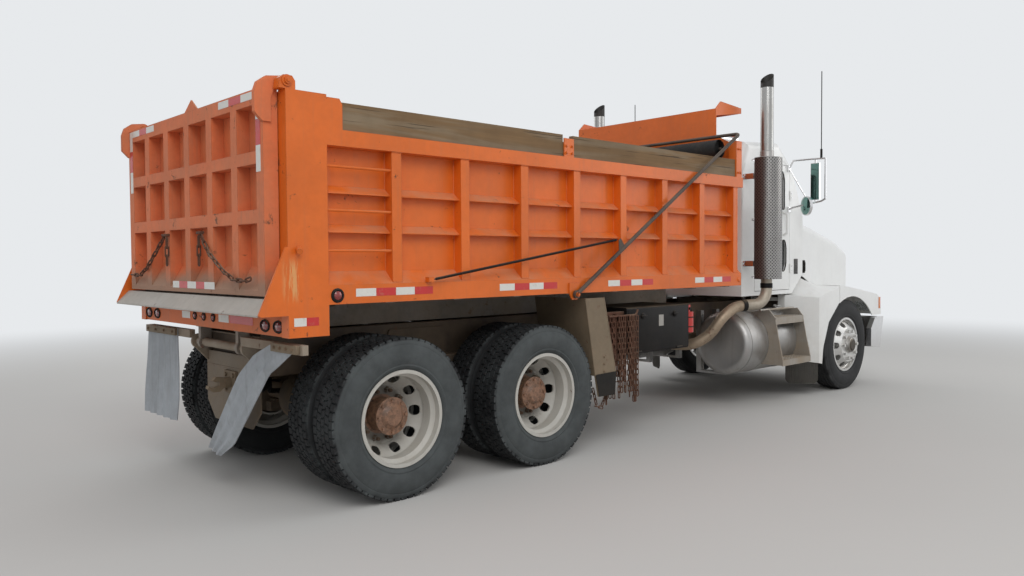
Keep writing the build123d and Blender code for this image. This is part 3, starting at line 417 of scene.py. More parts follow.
@dataclass(frozen=True)
class WheelFinish(Finish):
    """Disc wheel whose dirt follows rings round the hub."""

    station: float = 0.0
    hub_colour: Colour = RUST
    ring_colour: Colour = tint(0.22, 0.19, 0.16)
    hub_radius: float = 0.135
    grease_radius: float = 0.19

    def colour_field(self, kit: Kit) -> Field | Colour:
        """Rusty hub, greasy ring, then the paint with rusty runs.

        Args:
            kit: Maker of the material's nodes.

        Returns:
            The colour.
        """
        base = super().colour_field(kit)
        radius = kit.from_axle(self.station)
        ragged = radius + (kit.noise(18.0, 4.0, 0.7) - 0.5) * 0.05
        grease = 1.0 - kit.step(ragged, self.grease_radius - 0.015, self.grease_radius + 0.03)
        hub = 1.0 - kit.step(radius, self.hub_radius - 0.004, self.hub_radius + 0.004)
        colour = kit.blend(grease * 0.75, base, self.ring_colour)
        blotches = kit.step(kit.noise(32.0, 5.0, 0.7), 0.36, 0.62)
        rusty = kit.blend(blotches, toned(self.hub_colour, 0.45), self.hub_colour)
        return kit.blend(hub, colour, rusty)


@dataclass(frozen=True)
class TyreFinish(Finish):
    """Tyre with dusty grey walls, inner walls left dark as painted shade, and a darker, scrubbed tread."""

    station: float = 0.0
    wall_dust: float = 0.62

    def material(self) -> bpy.types.Material:
        """Builds the node tree.

        Returns:
            The material.
        """
        kit = Kit(self.name)
        radius = kit.from_axle(self.station)
        _, y, _ = kit.axes()
        tread = kit.step(radius, 0.512, 0.524)
        # Painted shade: the inner walls, between the twins, get little dust and stay dark.
        outer = kit.step(abs(y), 0.98, 1.1) * 0.8 + 0.2
        base = kit.blend(kit.noise(14.0, 4.0), self.colour, toned(self.colour, 1.7))
        clouds = kit.step(kit.noise(7.0, 5.0, 0.65), 0.3, 0.72)
        rings = kit.noise(1.0, 2.0, 0.5, stretch=(4.0, 40.0, 4.0))
        wall = (clouds * 0.35 + rings * 0.2 + 0.5) * outer * self.wall_dust
        top = (1.0 - kit.step(radius, 0.534, 0.5395)) * 0.4 + 0.12
        powder = kit.between(wall, tread, kit.least(top * clouds * 1.2, 0.8))
        colour = kit.blend(powder, base, self.dust_colour)
        height = kit.noise(300.0, 2.0) * 0.15 + kit.noise(40.0, 3.0) * 0.3
        return kit.close(colour, kit.between(0.7, powder, 0.95), 0.0, height, 0.001,
            {"Specular IOR Level": 0.25})


@dataclass(frozen=True)
class PlankFinish(Finish):
    """Weathered plank whose grain runs along the truck."""

    def material(self) -> bpy.types.Material:
        """Builds the node tree.

        Returns:
            The material.
        """
        kit = Kit(self.name)
        fibre = kit.noise(60.0, 6.0, 0.7, stretch=(0.03, 1, 1), bend=0.3)
        broad = kit.noise(9.0, 4.0, 0.6, stretch=(0.06, 1, 1), bend=0.6)
        stain = kit.step(kit.noise(2.2, 4.0, 0.6), 0.35, 0.7)
        grey = tint(0.55, 0.5, 0.42)
        colour = kit.blend(fibre, toned(self.colour, 0.45), self.colour)
        colour = kit.blend(kit.step(broad, 0.42, 0.6) * 0.6, colour, grey)
        colour = kit.blend(stain * 0.35, colour, tint(0.33, 0.26, 0.18))
        cracks = kit.step(kit.noise(90.0, 2.0, 0.5, stretch=(0.012, 1, 1)), 0.66, 0.7)
        colour = kit.blend(cracks * 0.7, colour, tint(0.16, 0.12, 0.09))
        return kit.close(colour, 0.88, 0.0, fibre * 0.6 - cracks * 1.2, 0.0012)


@dataclass(frozen=True)
class TapeFinish(Finish):
    """Reflective tape with its fine hexagon pattern, scuffed and dirty."""

    def material(self) -> bpy.types.Material:
        """Builds the node tree.

        Returns:
            The material.
        """
        kit = Kit(self.name)
        cells = kit.cells(170.0, feature="DISTANCE_TO_EDGE")
        lines = 1.0 - kit.step(cells, 0.03, 0.1)
        colour = kit.blend(lines * 0.25, self.colour, toned(self.colour, 0.6))
        scuffs = kit.step(kit.noise(25.0, 5.0, 0.75), 0.55, 0.7)
        colour = kit.blend(scuffs * 0.3, colour, self.dust_colour)
        colour = kit.blend(kit.noise(6.0, 4.0) * self.dust, colour, self.dust_colour)
        return kit.close(colour, 0.38 + scuffs * 0.4, 0.0, lines * 0.3, 0.0004, {"Coat Weight": 0.35})


@dataclass(frozen=True)
class GlassFinish(Finish):
    """Window glass with a film of dust."""

    film: float = 0.12
    clear: float = 0.35

    def material(self) -> bpy.types.Material:
        """Builds the node tree.

        Returns:
            The material.
        """
        kit = Kit(self.name)
        smear = kit.step(kit.noise(3.5, 5.0, 0.7), 0.35, 0.8) * self.film
        colour = kit.blend(smear, self.colour, DUST)
        alpha = kit.least(smear + (1.0 - self.clear), 1.0)
        return kit.close(colour, smear * 0.5 + 0.03, 0.0, None, 0.001,
            {"Alpha": alpha, "Specular IOR Level": 0.9})


@dataclass(frozen=True)
class LensFinish(Finish):
    """Lamp lens: clear coat over a fluted colour."""

    flutes: float = 160.0

    def material(self) -> bpy.types.Material:
        """Builds the node tree.

        Returns:
            The material.
        """
        kit = Kit(self.name)
        beads = kit.cells(self.flutes)
        bright = tuple(min(1.0, channel * 1.3) for channel in self.colour)
        colour = kit.blend(kit.step(beads, 0.1, 0.7), bright, toned(self.colour, 0.55))
        colour = kit.blend(kit.noise(12.0, 4.0) * self.dust, colour, self.dust_colour)
        extra = {"Coat Weight": 0.8, "Coat Roughness": 0.05}
        return kit.close(colour, 0.22, 0.0, beads * 0.6, 0.0008, extra)


@dataclass(frozen=True)
class MeshFinish(Finish):
    """Open-weave tarp cloth."""

    pitch: float = 420.0

    def material(self) -> bpy.types.Material:
        """Builds the node tree.

        Returns:
            The material.
        """
        kit = Kit(self.name)
        warp, weft = (kit.add("ShaderNodeTexWave", {"wave_type": "BANDS", "bands_direction": direction},
            {"Vector": kit.places(), "Scale": self.pitch, "Distortion": 0.4}) for direction in ("X", "Y"))
        weave = Field(kit, warp.outputs["Fac"]) * 0.5 + Field(kit, weft.outputs["Fac"]) * 0.5
        powder = kit.step(kit.noise(6.0, 5.0, 0.7), 0.4, 0.8) * self.dust
        colour = kit.blend(weave, toned(self.colour, 0.5), toned(self.colour, 1.8))
        colour = kit.blend(powder, colour, self.dust_colour)
        return kit.close(colour, 0.85, 0.0, weave, 0.0006)


@dataclass(frozen=True)
class ShieldFinish(Finish):
    """Perforated chromed sheet round a muffler, with the body's dark reflection painted on the side towards
    the body.
    """

    centre: tuple[float, float] = (4.69, 1.15)
    radius: float = 0.153
    pitch: float = 0.017

    def material(self) -> bpy.types.Material:
        """Builds the node tree.

        Returns:
            The material.
        """
        kit = Kit(self.name)
        x, y, z = kit.axes()
        away_x = x - (REAR_AXLE_X + self.centre[0])
        away_y = abs(y) - self.centre[1]
        turn = kit.math("ARCTAN2", away_y, away_x) * round(math.pi * self.radius / self.pitch)
        rise = z * (math.pi / self.pitch)
        holes = kit.step(kit.math("COSINE", turn) * kit.math("COSINE", rise), 0.22, 0.42)
        inward = (away_x * -0.73 + away_y * -0.68) * (1.0 / self.radius)
        # Painted reflection: dark brown, less metallic chrome on the side that faces the body.
        brown = kit.step(inward + kit.noise(5.0, 3.0) * 0.2, 0.3, 0.62) * 0.88
        colour = kit.blend(brown, self.colour_field(kit), tint(0.27, 0.2, 0.18))
        colour = kit.blend(self.dust_field(kit), colour, self.dust_colour)
        colour = kit.blend(holes * 0.88, colour, tint(0.09, 0.08, 0.08))
        metallic = kit.between(kit.between(self.metallic, brown, 0.3), holes, 0.0)
        return kit.close(colour, kit.between(self.roughness, holes, 0.9), metallic, 1.0 - holes, 0.0015)


@dataclass(frozen=True)
class SillFinish(Finish):
    """Bare steel sill over a painted light bar."""

    paint: Colour = ORANGE
    split: float = 1.26

    def colour_field(self, kit: Kit) -> Field | Colour:
        """Orange below the sill's lip and worn steel above it.

        Args:
            kit: Maker of the material's nodes.

        Returns:
            The colour.
        """
        _, _, height = kit.axes()
        bare = kit.step(height, self.split - 0.002, self.split + 0.002)
        return kit.blend(bare, self.paint, super().colour_field(kit))


@dataclass(frozen=True)
class BodyFinish(Finish):
    """Body paint with a pale scrape on the right rear post."""

    scrape_station: float = -0.8
    scrape_height: float = 1.47
    scraped: Colour = tint(0.86, 0.66, 0.42)

    def colour_field(self, kit: Kit) -> Field | Colour:
        """Paint, and ragged upright strokes where it was scraped.

        Args:
            kit: Maker of the material's nodes.

        Returns:
            The colour.
        """
        x, y, height = kit.axes()
        away = abs(x - (REAR_AXLE_X + self.scrape_station))
        rise = abs(height - self.scrape_height)
        right = kit.step(y * -1.0, 1.2, 1.21)
        place = (1.0 - kit.step(away, 0.03, 0.08)) * (1.0 - kit.step(rise, 0.06, 0.15)) * right
        strokes = kit.step(kit.noise(38.0, 4.0, 0.7, stretch=(1, 1, 0.1)), 0.5, 0.6)
        return kit.blend(strokes * place * 0.7, super().colour_field(kit), self.scraped)


@dataclass(frozen=True)
class GateFinish(Finish):
    """Faded paint with grey grime along the bottom."""

    grime: Colour = tint(0.53, 0.46, 0.39)

    def colour_field(self, kit: Kit) -> Field | Colour:
        """Paint that gives way to ragged grime below the pockets.

        Args:
            kit: Maker of the material's nodes.

        Returns:
            The colour.
        """
        _, _, height = kit.axes()
        ragged = height + (kit.noise(7.0, 5.0, 0.7) - 0.5) * 0.16
        return kit.blend((1.0 - kit.step(ragged, 1.43, 1.56)) * 0.75, super().colour_field(kit), self.grime)


@dataclass(frozen=True)
class FrameFinish(Finish):
    """Dusty frame whose rear plate is pale with dry dust."""

    rear_station: float = -0.6
    pale: Colour = tint(0.7, 0.65, 0.58)

    def colour_field(self, kit: Kit) -> Field | Colour:
        """Dark paint, and dry pale dust on the rear plate.

        Args:
            kit: Maker of the material's nodes.

        Returns:
            The colour.
        """
        x, _, _ = kit.axes()
        behind = 1.0 - kit.step(x, REAR_AXLE_X + self.rear_station - 0.06, REAR_AXLE_X + self.rear_station)
        return kit.blend(behind * (kit.noise(5.0, 4.0) * 0.4 + 0.5), super().colour_field(kit), self.pale)


BED_PAINT = BodyFinish("bed_paint", ORANGE, 0.45, mottle=0.1, mottle_scale=1.6, dust=0.03, dust_low=0.1,
    dust_top=0.45, rust=0.12, wear=0.45, streaks=0.08, dents=0.02, coat=0.1)
GATE_PAINT = GateFinish("gate_paint", tint(0.85, 0.43, 0.23), 0.6, mottle=0.12, dust=0.18, dust_top=0.7,
    rust=0.2, wear=0.5, streaks=0.15, dents=0.03)
BARE_STEEL = Finish("bare_steel", tint(0.52, 0.5, 0.48), 0.55, 0.7, mottle=0.25, dust=0.35, dust_top=0.4,
    rust=0.3, grain=0.3, dents=0.04)
CAB_PAINT = Finish("cab_paint", tint(0.93, 0.93, 0.92), 0.28, mottle=0.03, dust=0.03, dust_low=0.22,
    dust_top=0.12, streaks=0.03, coat=0.6)
CHASSIS_PAINT = FrameFinish("chassis_paint", tint(0.2, 0.18, 0.17), 0.6, mottle=0.25, dust=0.45,
    dust_low=0.3, dust_top=0.7, rust=0.25, wear=0.3, grain=0.2, dust_colour=tint(0.5, 0.43, 0.35))
CAST_METAL = replace(CHASSIS_PAINT, name="cast_metal", grain=0.8, colour=tint(0.22, 0.2, 0.18))
SILL_STEEL = SillFinish("sill_steel", tint(0.7, 0.68, 0.65), 0.5, 0.25, mottle=0.12, dust=0.15,
    dust_top=0.2, dust_colour=tint(0.66, 0.62, 0.57), rust=0.16, wear=0.3, streaks=0.12, grain=0.2)
BARE_PLATE = Finish("bare_plate", tint(0.62, 0.61, 0.59), 0.5, 0.3, mottle=0.08, dust=0.1)
BLACK_STEEL = Finish("black_steel", tint(0.05, 0.05, 0.06), 0.5, mottle=0.2, dust=0.01, dust_low=0.03,
    dust_top=0.35, wear=0.12, wear_colour=tint(0.35, 0.32, 0.29), grain=0.25, gloss=0.15)
RED_PAINT = Finish("red_paint", tint(0.74, 0.09, 0.08), 0.35, mottle=0.08, dust=0.05, dust_top=0.3,
    wear=0.15, coat=0.4)
BEIGE_PAINT = Finish("beige_paint", tint(0.45, 0.39, 0.31), 0.7, mottle=0.15, dust=0.1, dust_low=0.1,
    rust=0.18, wear=0.3, streaks=0.2)
CHROME = Finish("chrome", (0.78, 0.78, 0.79), 0.12, 1.0, mottle=0.03, dust=0.06, dust_low=0.15, dust_top=0.2)
STACK_PIPE = replace(CHROME, name="stack_pipe", colour=(0.4, 0.4, 0.39), roughness=0.2, dust=0.14,
    streaks=0.4, dust_colour=DRY_DUST)
SHIELD = ShieldFinish("stack_shield", (0.34, 0.33, 0.32), 0.3, 1.0, mottle=0.1, dust=0.1, dust_top=0.2,
    dust_colour=DRY_DUST)
STACK_CHROME = replace(CHROME, name="stack_chrome", colour=(0.45, 0.44, 0.43), roughness=0.28, dust=0.22,
    streaks=0.35, dust_colour=DRY_DUST)
POLISHED = Finish("polished_aluminium", (0.46, 0.46, 0.46), 0.27, 1.0, mottle=0.06, dust=0.14, dust_low=0.2,
    dust_top=0.45, streaks=0.2, grain=0.15, dust_colour=tint(0.55, 0.5, 0.43))
TREAD_PLATE = replace(POLISHED, name="step_aluminium", colour=(0.4, 0.38, 0.35), roughness=0.45, dust=0.4,
    dust_colour=tint(0.58, 0.51, 0.42))
PIPE_STEEL = Finish("pipe_steel", tint(0.62, 0.55, 0.47), 0.45, 0.7, mottle=0.3, dust=0.16, rust=0.3)
DULL_PIPE = Finish("dull_pipe", tint(0.66, 0.63, 0.58), 0.42, 0.8, mottle=0.25, dust=0.25, rust=0.12,
    streaks=0.2)
SOOT = Finish("soot", tint(0.05, 0.05, 0.05), 0.6, mottle=0.3, dust=0.04, dust_top=0.1)
RUBBER = Finish("rubber", tint(0.07, 0.07, 0.07), 0.75, mottle=0.15, dust=0.02, dust_low=0.02, grain=0.3,
    gloss=0.25)
GREY_FLAP = Finish("grey_flap", tint(0.66, 0.68, 0.7), 0.75, mottle=0.14, dust=0.06, dust_low=0.1,
    dust_colour=tint(0.5, 0.47, 0.43), streaks=0.2, grain=0.3)
FRONT_FLAP = replace(GREY_FLAP, name="front_flap", colour=tint(0.4, 0.39, 0.37))
NUT_RUST = Finish("nut_rust", tint(0.3, 0.22, 0.17), 0.8, 0.2, mottle=0.3, mottle_scale=30.0, dust=0.15,
    rust=0.3, rust_scale=30.0, grain=0.6)
CHAIN_RUST = Finish("chain_rust", tint(0.34, 0.2, 0.14), 0.85, 0.2, mottle=0.3, mottle_scale=20.0, dust=0.1,
    rust=0.6, rust_scale=40.0, grain=0.8)
TRIM = Finish("cab_trim", tint(0.24, 0.24, 0.25), 0.6, mottle=0.06, dust=0.08, dust_top=0.25, grain=0.4,
    grain_scale=500.0)
CLOTH = Finish("seat_cloth", tint(0.22, 0.22, 0.25), 0.95, mottle=0.15, mottle_scale=8.0, dust=0.08,
    grain=1.0, grain_scale=700.0)
ARM_STEEL = Finish("arm_steel", tint(0.27, 0.23, 0.21), 0.6, 0.4, mottle=0.25, dust=0.1, dust_top=0.2,
    rust=0.15)
PLANKS = PlankFinish("planks", tint(0.56, 0.44, 0.3))
TARP_CLOTH = MeshFinish("tarp_cloth", tint(0.07, 0.07, 0.07), dust=0.06)
TAPE_WHITE = TapeFinish("tape_white", tint(0.88, 0.87, 0.84), dust=0.12)
TAPE_RED = TapeFinish("tape_red", tint(0.78, 0.07, 0.09), dust=0.05)
CAB_GLASS = GlassFinish("cab_glass", tint(0.12, 0.15, 0.15), film=0.1, clear=0.6)
MIRROR_GLASS = Finish("mirror_glass", (0.18, 0.34, 0.31), 0.03, 1.0, mottle=0.02, dust=0.04, dust_top=0.0)
LENS_RED = LensFinish("lens_red", tint(0.58, 0.04, 0.07), dust=0.12)
LENS_AMBER = LensFinish("lens_amber", tint(0.95, 0.48, 0.08), dust=0.1)
LENS_CLEAR = LensFinish("lens_clear", tint(0.86, 0.88, 0.88), dust=0.05, flutes=60.0)

NODE_FINISHES: dict[Finish, tuple[str, ...]] = {
    BED_PAINT: ("bed_side_right", "bed_side_left", "headboard"),
    SILL_STEEL: ("rear_sill",),
    GATE_PAINT: ("tailgate",),
    BARE_STEEL: ("bed_floor",),
    CAB_PAINT: ("cab_shell", "door_right", "door_left", "hood", "quarter_fenders"),
    CHASSIS_PAINT: ("frame", "driveshafts", "tie_rod"),
    CAST_METAL: ("axles", "suspension", "knuckle_right", "knuckle_left", "engine"),
    BLACK_STEEL: ("tool_boxes", "hoist_barrel", "tarp_springs"),
    RED_PAINT: ("extinguisher",),
    BEIGE_PAINT: ("pintle_hook", "tandem_guards"),
    CHROME: ("bumper", "grille", "mirror_right", "mirror_left", "roof_horn", "hoist_rod"),
    SHIELD: ("stack_shields",),
    POLISHED: ("fuel_tanks",),
    TREAD_PLATE: ("cab_steps",),
    PIPE_STEEL: ("exhausts",),
    GREY_FLAP: ("mud_flaps",),
    CHAIN_RUST: ("hanging_chains", "tailgate_chains"),
    TRIM: ("cab_interior",),
    CLOTH: ("seats",),
    ARM_STEEL: ("tarp_arms",),
    PLANKS: ("sideboards",),
    TARP_CLOTH: ("tarp_roll",),
    CAB_GLASS: ("cab_glass", "door_glass_right", "door_glass_left"),
    LENS_CLEAR: ("headlamps",),
}


@cache
def material_of(finish: Finish) -> bpy.types.Material:
    """Material of a finish, made once."""
    return finish.material()


def dress(thing: bpy.types.Object, finish: Finish) -> None:
    """Puts a finish on every slot of a piece.

    Args:
        thing: The piece.
        finish: Its finish.
    """
    if not thing.material_slots:
        thing.data.materials.append(None)
    for slot in thing.material_slots:
        slot.material = material_of(finish)


def placed(name: str, data: bpy.types.ID) -> bpy.types.Object:
    """New object in the scene.

    Args:
        name: Name of the object.
        data: Its mesh, lamp or camera.

    Returns:
        The object.
    """
    thing = bpy.data.objects.new(name, data)
    bpy.context.collection.objects.link(thing)
    return thing


class Form:
    """A mesh being shaped, which ends as one named piece."""

    def __init__(self) -> None:
        """Starts empty."""
        self.mesh = bmesh.new()

    def _bevel(self, verts: Iterable[bmesh.types.BMVert], width: float, segments: int = 2) -> None:
        """Rounds all sharp edges between the given vertices.

        Args:
            verts: The vertices.
            width: Width of the rounding.
            segments: Its segments.
        """
        chosen = set(verts)
        edges = [edge for edge in self.mesh.edges if set(edge.verts) <= chosen and len(edge.link_faces) == 2
            and edge.calc_face_angle() > SHARP_ANGLE]
        bmesh.ops.bevel(self.mesh, geom=edges, offset=width, offset_type="OFFSET", affect="EDGES",
            segments=segments, profile=0.5, material=-1)

    def block(self, low: Sequence[float], high: Sequence[float], bevel: float = 0.0, segments: int = 2,
            turn: Matrix | None = None) -> None:
        """Box between two corners, in row metres.

        Args:
            low: One corner.
            high: The corner across from it.
            bevel: Rounding of its edges.
            segments: Segments of the rounding.
            turn: Turn about the box's middle.
        """
        size = Vector([abs(end - start) for start, end in zip(low, high)])
        middle = (Vector(high) + Vector(low)) / 2
        place = Matrix.Translation(middle) @ (turn or Matrix()) @ Matrix.Diagonal((*size, 1.0))
        made = bmesh.ops.create_cube(self.mesh, size=1.0, matrix=place)
        if bevel:
            self._bevel(made["verts"], bevel, segments)

    def rod(self, start: Sequence[float], end: Sequence[float], radius: float, sides: int = 16,
            tip: float | None = None, bevel: float = 0.0) -> None:
        """Round bar or cone between two points.

        Args:
            start: Middle of its first end.
            end: Middle of its other end.
            radius: Radius of the first end.
            sides: Sides round it.
            tip: Radius of the other end, if it differs.
            bevel: Rounding of its edges.
        """
        low, high = Vector(start), Vector(end)
        along = high - low
        place = Matrix.Translation((low + high) / 2) @ along.to_track_quat("Z", "Y").to_matrix().to_4x4()
        made = bmesh.ops.create_cone(self.mesh, cap_ends=True, cap_tris=False, segments=sides,
            radius1=radius, radius2=radius if tip is None else tip, depth=along.length, matrix=place)
        if bevel:
            self._bevel(made["verts"], bevel)

    def ball(self, centre: Sequence[float], radius: float, sides: int) -> None:
        """Ball."""
        bmesh.ops.create_uvsphere(self.mesh, u_segments=sides, v_segments=sides // 2, radius=radius,
            matrix=Matrix.Translation(Vector(centre)))

    def turned(self, outline: Sequence[tuple[float, float]], centre: Sequence[float],
            axis: Sequence[float], steps: int = 48, closed: bool = True) -> None:
        """Solid of revolution.

        Args:
            outline: (distance along the axis, radius) points.
            centre: Point on the axis from which distances are measured.
            axis: Direction of the axis.
            steps: Steps round the axis.
            closed: Whether the outline returns to its first point.
        """
        along = Vector(axis).normalized()
        out = along.orthogonal().normalized()
        verts = [self.mesh.verts.new(Vector(centre) + along * run + out * radius) for run, radius in outline]
        ring = [*verts, verts[0]] if closed else verts
        edges = [self.mesh.edges.new(pair) for pair in zip(ring, ring[1:])]
        bmesh.ops.spin(self.mesh, geom=[*verts, *edges], cent=Vector(centre), axis=along, angle=2 * math.pi,
            steps=steps, use_merge=True)
        bmesh.ops.remove_doubles(self.mesh, verts=self.mesh.verts, dist=MERGE_DISTANCE)

    def band(self, centre: Sequence[float], axis: Sequence[float], run: tuple[float, float],
            radii: tuple[float, float], steps: int) -> None:
        """Ring of rectangular section.

        Args:
            centre: Point on the axis from which distances are measured.
            axis: Direction of the axis.
            run: Where the ring starts and ends along the axis.
            radii: Inner and outer radius.
            steps: Steps round the axis.
        """
        (low, high), (inner, outer) = run, radii
        self.turned([(low, inner), (low, outer), (high, outer), (high, inner)], centre, axis, steps)

    def plate(self, outline: Sequence[Sequence[float]], thickness: Sequence[float], bevel: float) -> None:
        """Flat plate with rounded edges.

        Args:
            outline: Its corners in order.
            thickness: Vector along which the outline is pushed.
            bevel: Rounding of its edges.
        """
        verts = [self.mesh.verts.new(Vector(point)) for point in outline]
        face = self.mesh.faces.new(verts)
        pushed = bmesh.ops.extrude_face_region(self.mesh, geom=[face], use_keep_orig=True)
        moved = [item for item in pushed["geom"] if isinstance(item, bmesh.types.BMVert)]
        bmesh.ops.translate(self.mesh, verts=moved, vec=Vector(thickness))
        faces = {face for vert in (*verts, *moved) for face in vert.link_faces}
        bmesh.ops.recalc_face_normals(self.mesh, faces=list(faces))
        self._bevel([*verts, *moved], bevel, 1)

    def nut(self, centre: Sequence[float], axis: Sequence[float], radius: float, height: float) -> None:
        """Six-sided nut with its stud end.

        Args:
            centre: Middle of its seat.
            axis: Way that it faces.
            radius: Radius over its corners.
            height: Height of the nut.
        """
        base, along = Vector(centre), Vector(axis).normalized()
        self.rod(base, base + along * height, radius, 6)
        self.rod(base + along * height, base + along * (height * 1.5), radius * 0.5, 8)

    def tube(self, path: Sequence[Sequence[float]], radius: float, bend: float = 0.1, sides: int = 16,
            steps: int = 6) -> None:
        """Bent tube whose corners are rounded, swept ring by ring.

        Args:
            path: Corner points.
            radius: Radius of the tube.
            bend: Radius of the corners.
            sides: Sides of the tube.
            steps: Rings in each corner.
        """
        points = [Vector(point) for point in path]
        line = [points[0]]
        for before, corner, after in zip(points, points[1:], points[2:]):
            reach = min(bend, (before - corner).length * 0.49, (after - corner).length * 0.49)
            start = corner + (before - corner).normalized() * reach
            end = corner + (after - corner).normalized() * reach
            for number in range(steps + 1):
                share = number / steps
                line.append(start * (1 - share) ** 2 + corner * 2 * share * (1 - share) + end * share ** 2)
        line.append(points[-1])
        side = (line[1] - line[0]).orthogonal().normalized()
        rings = []
        for number, point in enumerate(line):
            ahead = line[min(number + 1, len(line) - 1)] - line[max(number - 1, 0)]
            ahead.normalize()
            side = (side - ahead * side.dot(ahead)).normalized()
            place = Matrix((side, ahead.cross(side), ahead)).transposed().to_4x4()
            ring = bmesh.ops.create_circle(self.mesh, cap_ends=number in (0, len(line) - 1), segments=sides,
                radius=radius, matrix=Matrix.Translation(point) @ place)
            rings.append(ring["verts"])
        for first, second in zip(rings, rings[1:]):
            edges = []
            for ring in (first, second):
                own = set(ring)
                edges += {edge for vert in ring for edge in vert.link_edges if set(edge.verts) <= own}
            bmesh.ops.bridge_loops(self.mesh, edges=edges)

    def whole(self) -> list:
        """Everything that the form has so far."""
        return [*self.mesh.verts, *self.mesh.edges, *self.mesh.faces]

    def mirrored(self) -> None:
        """Adds the other side's twin across the middle plane."""
        twin = bmesh.ops.duplicate(self.mesh, geom=self.whole())
        verts = [item for item in twin["geom"] if isinstance(item, bmesh.types.BMVert)]
        faces = [item for item in twin["geom"] if isinstance(item, bmesh.types.BMFace)]
        bmesh.ops.scale(self.mesh, verts=verts, vec=(1, -1, 1))
        bmesh.ops.reverse_faces(self.mesh, faces=faces)

    def take(self, other: "Form") -> None:
        """Moves everything of another form into this one.

        Args:
            other: The form that ends here.
        """
        data = other.data("passing")
        self.mesh.from_mesh(data)
        bpy.data.meshes.remove(data)

    def data(self, name: str) -> bpy.types.Mesh:
        """Ends the form as mesh data.

        Args:
            name: Name of the data.

        Returns:
            The data.
        """
        data = bpy.data.meshes.new(name)
        self.mesh.to_mesh(data)
        self.mesh.free()
        return data

    def repeated(self, count: int, turn: float, centre: Sequence[float], axis: Sequence[float]) -> None:
        """Turns copies of everything so far round an axis.

        Args:
            count: Number of places in all.
            turn: Angle from one to the next.
            centre: Point on the axis.
            axis: Its direction.
        """
        source = self.whole()
        for number in range(1, count):
            twin = bmesh.ops.duplicate(self.mesh, geom=source)
            verts = [item for item in twin["geom"] if isinstance(item, bmesh.types.BMVert)]
            bmesh.ops.rotate(self.mesh, verts=verts, cent=Vector(centre),
                matrix=Matrix.Rotation(turn * number, 3, Vector(axis)))

    def piece(self, name: str, finish: Finish, slot: str, body: str = "chassis", smooth: float = 0.6,
            recalc: bool = False) -> bpy.types.Object:
        """Ends the form as a piece that rides on a body.

        Args:
            name: Name of the piece.
            finish: Its finish.
            slot: The record's material slot; not used.
            body: Body that it moves with.
            smooth: Angle in radians below which edges are smooth.
            recalc: Whether the faces' directions are worked out again.

        Returns:
            The piece's object.
        """
        if recalc:
            bmesh.ops.recalc_face_normals(self.mesh, faces=self.mesh.faces)
        for face in self.mesh.faces:
            face.smooth = True
        for edge in self.mesh.edges:
            edge.smooth = len(edge.link_faces) == 2 and edge.calc_face_angle(0.0) < smooth
        thing = placed(name, self.data(name))
        dress(thing, finish)
        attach(thing, body)
        log.info("%s: %d faces", name, len(thing.data.polygons))
        return thing


@dataclass
class RoadTyre:
    """One tyre: a turned casing with blocks of tread."""

    station: float
    y: float
    steer: bool = False
    blocks: int = 62
    block_base: float = 0.5185
    block_top: float = 0.5394
    wall: tuple[tuple[float, float], ...] = (
        (0.105, 0.313), (0.108, 0.33), (0.121, 0.338), (0.128, 0.352), (0.126, 0.362), (0.131, 0.372),
        (0.1365, 0.41), (0.1355, 0.45), (0.128, 0.485), (0.1235, 0.492), (0.1245, 0.497), (0.119, 0.51))

    # Each row of lugs: middle y, width, share of the step that is rubber, slant, shift in steps
    lug_rows: tuple[tuple[float, float, float, float, float], ...] = (
        (-0.093, 0.038, 0.76, 0.0, 0.0), (-0.046, 0.04, 0.82, 0.22, 0.5), (0.0, 0.036, 0.8, -0.22, 0.1),
        (0.046, 0.04, 0.82, 0.22, 0.6), (0.093, 0.038, 0.76, 0.0, 0.0))

    def crown(self) -> list[tuple[float, float]]:
        """Outline over the tread.

        Returns:
            (y, radius) points from the near shoulder to the far one.
        """
        if not self.steer:
            return [(0.112, 0.5235), (0.0, 0.5265), (-0.112, 0.5235)]
        points = [(0.112, 0.53), (0.104, 0.5375)]
        for groove in (0.068, 0.024, -0.024, -0.068):
            points += [(groove + 0.006, 0.5392), (groove + 0.004, 0.526), (groove - 0.004, 0.526),
                (groove - 0.006, 0.5392)]
        return [*points, (-0.104, 0.5375), (-0.112, 0.53)]

    def build(self, form: Form) -> None:
        """Adds the casing and its tread to a form.

        Args:
            form: The form.
        """
        centre = spot(self.station, self.y, HUB_Z)
        outline = [*self.wall, *self.crown(), *[(-y, radius) for y, radius in reversed(self.wall)]]
        form.turned(outline, centre, (0, 1, 0), 96)
        if self.steer:
            return
        step = 2 * math.pi / self.blocks
        lugs = Form()
        for y, width, filled, slant, shift in self.lug_rows:
            length = step * 0.53 * filled
            lean = Matrix(((1, slant, 0, 0), (0, 1, 0, 0), (0, 0, 1, 0), (0, 0, 0, 1)))
            size = Matrix.Diagonal((length, width, self.block_top - self.block_base, 1.0))
            place = (Matrix.Translation(centre) @ Matrix.Rotation(step * shift, 4, "Y")
                @ Matrix.Translation((0, y, (self.block_top + self.block_base) / 2)) @ lean @ size)
            bmesh.ops.create_cube(lugs.mesh, size=1.0, matrix=place)
        lugs.repeated(self.blocks, step, centre, (0, 1, 0))
        form.take(lugs)


